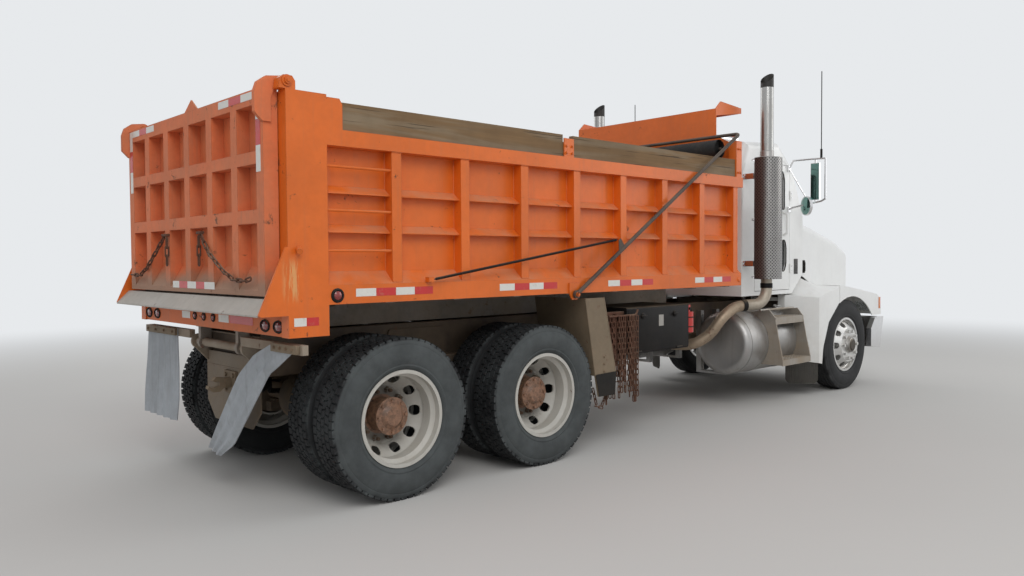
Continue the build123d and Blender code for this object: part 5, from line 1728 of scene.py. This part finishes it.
@dataclass
class SideGear:
    """What hangs along the frame: tanks, steps, tool boxes and the extinguisher."""

    tank_y: float = 0.785
    tank_z: float = 0.685
    tank_radius: float = 0.333
    box_span: tuple[float, float] = (2.377, 3.287)
    box_face: float = 1.15
    bottle: tuple[float, float] = (3.362, -1.085)
    hose: tuple[Point, ...] = ((3.362, -1.072, 1.135), (3.395, -1.08, 1.148), (3.426, -1.085, 1.1),
        (3.424, -1.085, 0.96))

    def tanks(self) -> None:
        """Seam rings, strap bolts and filler caps of the fuel tanks."""
        form = Form()
        for station in (4.484, 5.452):
            form.band(spot(station, self.tank_y, self.tank_z), (1, 0, 0), (-0.003, 0.003),
                (self.tank_radius - 0.002, self.tank_radius + 0.0015), 72)
        for station in (4.5, 4.8, 5.395):
            for z in (0.4, 0.97):
                form.nut(spot(station, 0.49, z), (0, 1, 0), 0.011, 0.01)
        out = Vector((0, 0.426, 0.905)).normalized()
        neck = spot(5.31, 0.935, 1.03)
        form.turned([(-0.012, 0.0), (-0.012, 0.054), (0.01, 0.055), (0.016, 0.05), (0.018, 0.02),
            (0.018, 0.0)], neck, out, 40, closed=False)
        form.block(neck + out * 0.016 - Vector((0.035, 0.006, 0.0)),
            neck + out * 0.03 + Vector((0.035, 0.006, 0.0)), 0.003)
        form.mirrored()
        form.piece("tank_fittings", POLISHED, "polished_aluminium", recalc=True)

    def steps(self) -> None:
        """Raised bars on the treads and bolts through the step plates."""
        form = Form()
        for outer, inner, top in ((1.188, 1.045, 0.955), (1.27, 1.12, 0.51)):
            for number in range(5):
                y = inner + (outer - inner) * (number + 0.5) / 5
                for start in range(9):
                    low = 4.815 + 0.0635 * start
                    form.block(spot(low, y - 0.006, top - 0.001), spot(low + 0.046, y + 0.006, top + 0.004),
                        0.0015, 1)
        for station, way in ((4.793, -1), (5.402, 1)):
            for y, z in ((1.14, 0.98), (1.19, 0.8), (1.22, 0.6)):
                form.nut(spot(station, y, z), (way, 0, 0), 0.009, 0.007)
        form.mirrored()
        form.piece("step_treads", TREAD_PLATE, "polished_aluminium")

    def boxes(self) -> None:
        """Door panel, hinges and handles on each tool box, and a bare plate on the right one."""
        rear, front = self.box_span
        face = self.box_face
        form = Form()
        form.block(spot(rear + 0.018, face - 0.001, 0.775), spot(front - 0.018, face + 0.004, 1.15), 0.0035)
        for station in (rear + 0.15, front - 0.15):
            rear_end, front_end = (spot(station + reach, face + 0.005, 0.775) for reach in (-0.045, 0.045))
            form.rod(rear_end, front_end, 0.008, 12)
        form.mirrored()
        form.piece("box_doors", BLACK_STEEL, "black_steel")
        form = Form()
        for station in (rear + 0.22, front - 0.22):
            form.turned([(0.0, 0.0), (0.0, 0.026), (0.008, 0.026), (0.012, 0.018), (0.012, 0.0)],
                spot(station, face + 0.004, 1.085), (0, 1, 0), 28, closed=False)
            form.block(spot(station - 0.04, face + 0.014, 1.079), spot(station + 0.04, face + 0.024, 1.091),
                0.003)
        form.mirrored()
        form.piece("box_handles", BLACK_STEEL, "black_steel", recalc=True)
        form = Form()
        form.block(spot(2.825, -face - 0.0055, 0.985), spot(2.895, -face - 0.0035, 1.085), 0.0008, 1)
        form.piece("bare_plate", BARE_PLATE, "bare_steel")

    def extinguisher(self) -> None:
        """Hose, nozzle, gauge and strap of the fire extinguisher."""
        form = Form()
        form.tube([spot(*point) for point in self.hose], 0.008, 0.03, 12)
        form.rod(spot(3.424, -1.085, 0.965), spot(3.424, -1.085, 0.9), 0.01, 12, tip=0.014)
        for reach, z in ((3.42, 1.15), (3.41, 1.12)):
            form.block(spot(3.33, -1.09, z), spot(reach, -1.078, z + 0.006), 0.002)
        form.turned([(0.0, 0.0), (0.0, 0.014), (0.01, 0.014), (0.01, 0.0)], spot(3.362, -1.112, 1.115),
            (0, -1, 0), 20, closed=False)
        form.piece("extinguisher_hose", RUBBER, "black_rubber", recalc=True)
        form = Form()
        for z in (0.945, 1.035):
            form.band(spot(*self.bottle, z), (0, 0, 1), (-0.005, 0.005), (0.0555, 0.0575), 36)
        form.piece("extinguisher_straps", BLACK_STEEL, "black_steel", recalc=True)

    def guards(self) -> None:
        """Rolled edges and bolts of the guards ahead of the rear wheels."""
        form = Form()
        for start, end in (((1.795, 1.27), (1.913, 0.63)), ((2.02, 1.27), (2.167, 0.64))):
            form.rod(spot(start[0], 1.195, start[1]), spot(end[0], 1.195, end[1]), 0.008, 10)
        for z in (0.66, 0.72, 0.78):
            form.nut(spot(2.02, 1.2, z), (0, 1, 0), 0.01, 0.007)
        form.mirrored()
        form.piece("guard_edges", BEIGE_PAINT, "beige_paint")
        form = Form()
        outline = ((1.906, 0.64), (2.168, 0.648), (2.15, 0.452), (1.95, 0.457))
        form.plate([spot(station, 1.2035, z) for station, z in outline], (0, 0.004, 0), 0.001)
        form.mirrored()
        form.piece("guard_rubber", RUBBER, "black_rubber", recalc=True)

    def build(self) -> None:
        """Builds the side gear's fittings."""
        self.tanks()
        self.steps()
        self.boxes()
        self.extinguisher()
        self.guards()


@dataclass
class CabTrim:
    """Gaskets, mirrors' glass, handles, vents, latches and the fenders' sloping tops."""

    side_y: float = 0.92
    antenna: tuple[float, float] = (5.59, 1.3)
    window: tuple[tuple[float, float], ...] = (
        (4.93, 2.3), (4.93, 2.565), (5.44, 2.565), (5.48, 2.48), (5.48, 2.14), (4.93, 2.14), (4.93, 2.31))
    peep: tuple[tuple[float, float], ...] = (
        (5.4, 1.6), (5.4, 1.5), (5.43, 1.44), (5.48, 1.44), (5.52, 1.52), (5.52, 1.72),
        (5.49, 1.79), (5.44, 1.79), (5.4, 1.72), (5.4, 1.59))
    # Each row: station, outer y, outer z, inner z of the fender's sloping top
    fender_top: tuple[tuple[float, float, float, float], ...] = (
        (5.566, 0.892, 1.166, 1.167), (5.66, 1.014, 1.152, 1.17), (5.785, 1.184, 1.134, 1.279),
        (5.905, 1.188, 1.163, 1.384), (6.285, 1.188, 1.254, 1.256))

    def doors(self) -> None:
        """Window rubbers, handle, mirror glasses and dark antenna on each door."""
        for side, name in SIDES:
            body = f"{name}_door"
            form = Form()
            for outline in (self.window, self.peep):
                form.tube([spot(x, side * (self.side_y + 0.001), z) for x, z in outline], 0.006, 0.03, 10, 4)
            form.block(spot(4.935, side * 0.905, 2.134), spot(5.475, side * 0.924, 2.146), 0.003)
            station, y = self.antenna
            form.tube([spot(station, side * y, z) for z in (2.785, 3.6435)], 0.0052, 0.05, 10)
            form.rod(spot(station, side * y, 2.69), spot(station, side * y, 2.79), 0.0125, 16)
            form.piece(f"door_rubber_{name}", RUBBER, "black_rubber", body, recalc=True)
            form = Form()
            form.block(spot(5.5705, side * 1.2805, 2.237), spot(5.5725, side * 1.1895, 2.635), 0.0008, 1)
            way = Vector((-math.cos(math.radians(33)), -side * math.sin(math.radians(33)), 0))
            disc = spot(5.574, side * 1.138, 2.17) + way * 0.0141
            form.turned([(0.0, 0.098), (0.004, 0.085), (0.0085, 0.055), (0.0115, 0.022), (0.012, 0.0)],
                disc, way, 48, closed=False)
            form.piece(f"mirror_glasses_{name}", MIRROR_GLASS, "chrome", body, recalc=True)
            form = Form()
            form.turned([(0.0, 0.0), (0.0, 0.03), (0.006, 0.03), (0.009, 0.024), (0.004, 0.02),
                (0.004, 0.0)], spot(5.342, side * 0.932, 1.858), (0, side, 0), 32, closed=False)
            form.block(spot(5.318, side * 0.936, 1.852), spot(5.366, side * 0.945, 1.864), 0.003)
            for z in (1.445, 1.495, 2.275, 2.325):
                form.nut(spot(5.628, side * 0.93, z), (0, side, 0), 0.008, 0.005)
            form.piece(f"door_handle_{name}", CHROME, "chrome", body, recalc=True)

    def shell(self) -> None:
        """Rear and front window rubbers, wipers and cowl vents."""
        form = Form()
        rear = [(0.0, 2.463), (0.563, 2.463), (0.563, 1.977), (-0.563, 1.977), (-0.563, 2.463),
            (0.01, 2.463)]
        form.tube([spot(4.579, y, z) for y, z in rear], 0.01, 0.05, 10, 5)
        up, out = Vector((-0.4413, 0, 0.8973)), Vector((0.8973, 0, 0.4413))
        base = spot(5.742, 0, 2.4) + out * 0.003
        for side, _ in SIDES:
            pane = [(0.0, 0.283), (0.393, 0.283), (0.393, -0.283), (-0.393, -0.283), (-0.393, 0.283),
                (0.01, 0.283)]
            rubber = [base + Vector((0, side * 0.43 + y, 0)) + up * rise for y, rise in pane]
            form.tube(rubber, 0.0105, 0.06, 10, 5)
            foot = base + Vector((0, side * 0.3, 0)) - up * 0.33
            reach = Vector((0, side * 0.12, 0))
            form.tube([foot, foot + out * 0.025, foot + out * 0.028 + up * 0.2 + reach], 0.0055, 0.02, 8)
            blade = foot + out * 0.022 + up * 0.2 + reach
            form.rod(blade - up * 0.22 - Vector((0, side * 0.1, 0)), blade + up * 0.18 + reach, 0.006, 8)
        form.piece("window_rubbers", RUBBER, "black_rubber", recalc=True)
        form = Form()
        form.block(spot(5.702, self.side_y - 0.001, 1.402), spot(5.788, self.side_y + 0.005, 1.578), 0.003)
        for number in range(6):
            z = 1.424 + 0.026 * number
            form.block(spot(5.712, self.side_y + 0.004, z), spot(5.778, self.side_y + 0.01, z + 0.009),
                0.002, 1, Matrix.Rotation(0.35, 4, "X"))
        form.mirrored()
        form.piece("cowl_vents", TRIM, "cab_trim")

    def latches(self) -> None:
        """Rubber hood latches and the amber lamps on the hood's fenders."""
        form = Form()
        form.block(spot(5.985, 0.874, 1.41), spot(6.015, 0.9, 1.56), 0.006)
        form.rod(spot(6.0, 0.9, 1.43), spot(6.0, 0.9, 1.535), 0.01, 12)
        form.mirrored()
        form.piece("hood_latches", RUBBER, "black_rubber", "tilting_hood")
        form = Form()
        form.block(spot(7.372, 1.188, 0.94), spot(7.425, 1.1935, 1.085), 0.002)
        form.mirrored()
        form.piece("fender_lamps", LENS_AMBER, "lamp_lens", "tilting_hood")

    def fender_tops(self) -> None:
        """Sloping sheet from each quarter fender up to the cab and the hood."""
        form = Form()
        rows = len(self.fender_top) - 1
        bmesh.ops.create_grid(form.mesh, x_segments=rows * 4, y_segments=6, size=0.5)
        for vert in form.mesh.verts:
            place, across = (vert.co.x + 0.5) * rows, vert.co.y + 0.5
            row = min(int(place), rows - 1)
            share = place - row
            station, outer_y, outer_z, inner_z = (near * (1 - share) + far * share
                for near, far in zip(self.fender_top[row], self.fender_top[row + 1]))
            rise = across ** 0.8
            vert.co = spot(station, outer_y + (0.832 - outer_y) * across,
                outer_z + (inner_z - outer_z) * rise)
        bmesh.ops.solidify(form.mesh, geom=form.mesh.faces, thickness=0.004)
        form.mirrored()
        form.piece("fender_tops", CAB_PAINT, "cab_white", recalc=True)

    def build(self) -> None:
        """Builds the cab's trim."""
        self.doors()
        self.shell()
        self.latches()
        self.fender_tops()


@dataclass
class CabInside:
    """Padded seats, steering wheel rim, gauges, pedals and levers."""

    seat_y: float = 0.43
    swell: float = 0.016
    voxel: float = 0.008
    pressure: float = 4.0
    frames: int = 20
    channel_depth: float = 0.009
    fill: float = 0.75

    def plumped(self, form: Form, name: str) -> Form:
        """Swells a closed shape as stuffing does, by a short cloth run under pressure.

        Args:
            form: The slightly smaller shape.
            name: Name for the passing object.

        Returns:
            The swollen form.
        """
        thing = placed(name, form.data(name))
        remesh = thing.modifiers.new("even", "REMESH")
        remesh.mode = "VOXEL"
        remesh.voxel_size = self.voxel
        even = bpy.data.meshes.new_from_object(thing.evaluated_get(bpy.context.evaluated_depsgraph_get()))
        thing.modifiers.clear()
        thing.data = even
        rest = [vert.co.copy() for vert in even.vertices]
        cloth = thing.modifiers.new("stuffing", "CLOTH")
        cloth.settings.quality = 4
        cloth.settings.use_pressure = True
        cloth.settings.uniform_pressure_force = self.pressure
        cloth.settings.effector_weights.gravity = 0.0
        cloth.point_cache.frame_end = self.frames
        for frame in range(1, self.frames + 1):
            bpy.context.scene.frame_set(frame)
        blown = thing.evaluated_get(bpy.context.evaluated_depsgraph_get()).to_mesh()
        pushed = [point.co.copy() for point in blown.vertices]
        for vert, start, moved in zip(even.vertices, rest, pushed):
            push = moved - start
            vert.co = start + push * min(1.0, self.swell / max(push.length, 1e-9))
        thing.modifiers.clear()
        bpy.context.scene.frame_set(1)
        swollen = Form()
        swollen.mesh.from_mesh(even)
        bpy.data.objects.remove(thing)
        bmesh.ops.smooth_vert(swollen.mesh, verts=swollen.mesh.verts, factor=0.5, use_axis_x=True,
            use_axis_y=True, use_axis_z=True)
        return swollen

    def channels(self, form: Form, places: Sequence[float], face: Vector) -> None:
        """Presses sewn channels into the side that faces a direction.

        Args:
            form: Padded form.
            places: Middle y of each channel.
            face: Direction the pressed side faces.
        """
        for vert in form.mesh.verts:
            toward = vert.normal.dot(face)
            if toward > 0.3:
                near = min(abs(vert.co.y - place) for place in places)
                vert.co -= face * self.channel_depth * toward * math.exp(-(near / 0.01) ** 2)

    def seats(self) -> None:
        """A cushion and a backrest for each seat on its base."""
        form = Form()
        for side, _ in SIDES:
            y = side * self.seat_y
            form.block(spot(4.83, y - 0.17, 1.214), spot(5.16, y + 0.17, 1.5), 0.02)
            form.block(spot(4.78, y - 0.225, 1.5), spot(5.21, y + 0.225, 1.555), 0.015)
            form.rod(spot(4.8, y + 0.236, 1.6), spot(4.86, y + 0.236, 1.6), 0.022, 16)
        piece = form.piece("seat_bases", TRIM, "cab_trim")
        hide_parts("seats")
        base = Form()
        base.block(spot(4.785, -0.215, 1.572), spot(5.205, 0.215, 1.668), 0.03, 3)
        base = self.plumped(base, "cushion_shape")
        self.channels(base, (-0.13, -0.045, 0.045, 0.13), Vector((0, 0, 1)))
        back = Form()
        lean = Vector((-0.09, 0, 0.65)).normalized()
        ahead = Vector((lean.z, 0, -lean.x))
        back.block((-0.036, -0.205, 0.02), (0.036, 0.205, 0.635), 0.03, 3)
        place = Matrix((ahead, Vector((0, 1, 0)), lean)).transposed().to_4x4()
        bmesh.ops.transform(back.mesh, matrix=Matrix.Translation(spot(4.822, 0, 1.685)) @ place,
            verts=back.mesh.verts)
        back = self.plumped(back, "backrest_shape")
        self.channels(back, (-0.12, -0.04, 0.04, 0.12), ahead)
        for name, source in (("cushion", base), ("backrest", back)):
            shape = source.data("passing")
            for side, word in SIDES:
                part = Form()
                part.mesh.from_mesh(shape)
                bmesh.ops.translate(part.mesh, verts=part.mesh.verts, vec=(0, side * self.seat_y, 0))
                pad = part.piece(f"seat_{name}_{word}", CLOTH, "seat_cloth", smooth=3.0)
            bpy.data.meshes.remove(shape)

    def controls(self) -> None:
        """Wheel rim, gear lever, pedals and gauges."""
        form = Form()
        hub, tilt = spot(5.34, 0.42, 1.99), Vector((-0.22, 0, 0.19)).normalized()
        form.turned([(0.0165 * math.sin(turn), 0.2235 + 0.0165 * math.cos(turn))
            for turn in [math.pi * number / 6 for number in range(12)]], hub, tilt, 64)
        form.turned([(0.01, 0.0), (0.01, 0.05), (0.022, 0.046), (0.03, 0.03), (0.032, 0.0)], hub, tilt, 40,
            closed=False)
        form.tube([spot(5.42, 0.02, 1.23), spot(5.4, 0.03, 1.55), spot(5.3, 0.05, 1.8)], 0.011, 0.1, 12)
        form.ball(spot(5.3, 0.05, 1.82), 0.028, 20)
        for y in (0.3, 0.42, 0.54):
            form.rod(spot(5.76, y, 1.45), spot(5.66, y, 1.33), 0.008, 8)
            form.block(spot(5.64, y - 0.028, 1.29), spot(5.66, y + 0.028, 1.37), 0.004, 2,
                Matrix.Rotation(-0.5, 4, "Y"))
        form.piece("controls", TRIM, "cab_trim", recalc=True)
        form = Form()
        for number in range(6):
            form.turned([(0.0, 0.0), (0.0, 0.036), (0.007, 0.036), (0.007, 0.031), (0.003, 0.03),
                (0.003, 0.0)], spot(5.512, 0.235 + 0.075 * number, 1.84), (-1, 0, 0), 28, closed=False)
        form.piece("gauges", CHROME, "chrome", recalc=True)

    def build(self) -> None:
        """Builds the inside of the cab."""
        self.seats()
        self.controls()


@dataclass
class FrameGear:
    """Bolts along the rails, spring clamps, brake chambers and air pipes."""

    member_stations: tuple[float, ...] = (-0.59, 0.67, 2.56, 3.5, 7.27)
    rail_face: float = 0.43
    spring_faces: tuple[float, float] = (0.453, 0.547)
    clamp_z: tuple[float, float] = (0.475, 0.612)
    pipe_y: float = 0.414

    def bolts(self) -> None:
        """Bolt patterns on the outer faces of the rails."""
        form = Form()
        for station in self.member_stations:
            for shift in (-0.028, 0.028):
                for z in (0.862, 0.905, 1.0, 1.045):
                    form.nut(spot(station + shift, self.rail_face, z), (0, 1, 0), 0.0105, 0.009)
        form.mirrored()
        form.piece("rail_bolts", CHASSIS_PAINT, "chassis")

    def brakes(self) -> None:
        """Brake chambers on the driven axles, with their push rods."""
        form = Form()
        for station in (0.0, TANDEM_SPACING):
            centre = spot(station - 0.24, 0.375, 0.655)
            form.turned([(-0.085, 0.0), (-0.085, 0.05), (-0.07, 0.078), (-0.012, 0.084), (-0.012, 0.09),
                (0.012, 0.09), (0.012, 0.084), (0.06, 0.072), (0.072, 0.03), (0.072, 0.0)], centre,
                (1, 0, 0), 36, closed=False)
            form.rod(centre + Vector((0.07, 0, 0)), centre + Vector((0.165, 0, -0.015)), 0.01, 10)
            form.block(spot(station - 0.17, 0.345, 0.56), spot(station - 0.155, 0.405, 0.68), 0.003)
            form.rod(spot(station - 0.165, 0.375, 0.57), spot(station - 0.04, 0.375, 0.56), 0.02, 12)
        form.mirrored()
        form.piece("brake_chambers", BLACK_STEEL, "black_steel", recalc=True)

    def clamps(self) -> None:
        """U-bolts over the front springs."""
        form = Form()
        (inner, outer), (low, high) = self.spring_faces, self.clamp_z
        for station in (WHEELBASE - 0.048, WHEELBASE + 0.048):
            corners = ((inner, low), (inner, high), (outer, high), (outer, low))
            form.tube([spot(station, y, z) for y, z in corners], 0.009, 0.03, 12)
            for y in self.spring_faces:
                form.nut(spot(station, y, 0.498), (0, 0, -1), 0.015, 0.016)
        form.mirrored()
        form.piece("spring_clamps", CAST_METAL, "cast_metal")

    def lines(self) -> None:
        """Air pipes clipped inside the rails."""
        form = Form()
        for z, reach in ((1.055, 6.1), (1.03, 5.6), (1.005, 4.4)):
            line = ((-0.5, z), (0.9, z), (2.7, z - 0.004), (reach, z))
            form.tube([spot(station, self.pipe_y, rise) for station, rise in line], 0.006, 0.2, 8)
        form.mirrored()
        form.piece("air_pipes", RUBBER, "black_rubber")

    def build(self) -> None:
        """Builds the frame's fittings."""
        self.bolts()
        self.brakes()
        self.clamps()
        self.lines()


@dataclass(frozen=True)
class PhotoCamera:
    """Camera of the photograph, with its angles in degrees."""

    place: Point = (-6.392, -5.619, 1.581)
    yaw: float = 46.915
    pitch: float = 1.929
    roll: float = -0.381
    sensor: float = 36.0
    focal_pixels: float = 820.429
    width_pixels: float = 1024.0
    far: float = 200.0

    def build(self) -> None:
        """Places the camera where the photograph was taken from."""
        yaw, pitch, roll = math.radians(self.yaw), math.radians(self.pitch), math.radians(self.roll)
        forward = Vector((math.cos(yaw) * math.cos(pitch), math.sin(yaw) * math.cos(pitch),
            -math.sin(pitch)))
        right = forward.cross(Vector((0, 0, 1))).normalized()
        up = right.cross(forward)
        turned_right = math.cos(roll) * right + math.sin(roll) * up
        turned_up = math.cos(roll) * up - math.sin(roll) * right
        data = bpy.data.cameras.new("photo_camera")
        data.sensor_width = self.sensor
        data.lens = self.sensor * self.focal_pixels / self.width_pixels
        data.clip_end = self.far
        camera = placed("photo_camera", data)
        turn = Matrix((turned_right, turned_up, -forward)).transposed().to_4x4()
        camera.matrix_world = Matrix.Translation(self.place) @ turn
        bpy.context.scene.camera = camera


@dataclass(frozen=True)
class Surroundings:
    """Soft overcast light, a pale floor, and what the camera and reflections see behind them."""

    seen: Colour = (0.8, 0.82, 0.84)
    dome: Colour = (0.93, 0.96, 1.0)
    dome_strength: float = 0.58
    floor: Colour = (0.6, 0.585, 0.56)
    fade: tuple[float, float] = (7.0, 17.0)
    floor_reach: float = 90.0
    # Each lamp: name, place, size, power
    lamps: tuple[tuple[str, Point, float, float], ...] = (
        ("key", (-7.0, -9.0, 9.0), 7.0, 560.0), ("fill", (9.0, -7.0, 6.0), 7.0, 240.0),
        ("back", (1.0, 9.0, 8.0), 8.0, 260.0))
    aim: Point = (0.0, 0.0, 1.2)

    def direct(self, kit: Kit) -> Field:
        """Tells the rays that see the pale surroundings.

        Args:
            kit: Maker of the nodes.

        Returns:
            1 for camera, glossy and transmission rays.
        """
        path = kit.add("ShaderNodeLightPath")
        seen = kit.most(Field(kit, path.outputs["Is Camera Ray"]), Field(kit, path.outputs["Is Glossy Ray"]))
        return kit.most(seen, Field(kit, path.outputs["Is Transmission Ray"]))

    def world(self) -> bpy.types.World:
        """Makes the dome.

        Returns:
            The world.
        """
        world = bpy.data.worlds.new("dome")
        kit = Kit(world)
        light = kit.add("ShaderNodeBackground", sockets={"Color": (*self.dome, 1.0),
            "Strength": self.dome_strength})
        backdrop = kit.add("ShaderNodeBackground", sockets={"Color": (*self.seen, 1.0), "Strength": 1.0})
        mix = kit.add("ShaderNodeMixShader", sockets={0: self.direct(kit), 1: Field(kit, light.outputs[0]),
            2: Field(kit, backdrop.outputs[0])})
        kit.add("ShaderNodeOutputWorld", sockets={0: Field(kit, mix.outputs[0])})
        return world

    def floor_material(self) -> bpy.types.Material:
        """Pale floor that keeps the shadow and fades into the backdrop far away.

        Returns:
            The floor's material.
        """
        kit = Kit("floor_pale")
        x, y, _ = kit.axes()
        away = (x * x + y * y) ** 0.5
        shade = kit.blend(kit.noise(0.6, 3.0), toned(self.floor, 0.97), self.floor)
        near = kit.add("ShaderNodeBsdfDiffuse", sockets={"Color": shade})
        far = kit.add("ShaderNodeEmission", sockets={"Color": (*self.seen, 1.0), "Strength": 1.0})
        share = kit.step(away, *self.fade) * self.direct(kit)
        mix = kit.add("ShaderNodeMixShader", sockets={0: share, 1: Field(kit, near.outputs[0]),
            2: Field(kit, far.outputs[0])})
        kit.add("ShaderNodeOutputMaterial", sockets={0: Field(kit, mix.outputs[0])})
        return kit.material

    def build(self) -> None:
        """Places the lamps, the dome and the floor."""
        for name, place, size, power in self.lamps:
            data = bpy.data.lights.new(name, "AREA")
            data.size = size
            data.energy = power
            lamp = placed(name, data)
            lamp.location = place
            lamp.rotation_euler = (Vector(self.aim) - Vector(place)).to_track_quat("-Z", "Y").to_euler()
        bpy.context.scene.world = self.world()
        bpy.context.scene.view_settings.view_transform = "Standard"
        form = Form()
        bmesh.ops.create_grid(form.mesh, x_segments=1, y_segments=1, size=self.floor_reach)
        floor = placed("floor", form.data("floor"))
        floor.data.materials.append(self.floor_material())


def main() -> None:
    """Builds the scene in order."""
    logging.basicConfig(level=logging.INFO, format="%(name)s %(message)s")
    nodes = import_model()["nodes"]
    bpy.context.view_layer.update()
    PhotoCamera().build()
    Surroundings().build()
    for finish, names in NODE_FINISHES.items():
        for name in names:
            dress(nodes[name], finish)
    RoadWheels(nodes).build()
    for assembly in (MudFlaps, SideGear, CabTrim, CabInside, FrameGear, TippingBody, TarpGear, Exhaust,
            Chains):
        assembly().build()


if __name__ == "__main__":
    main()
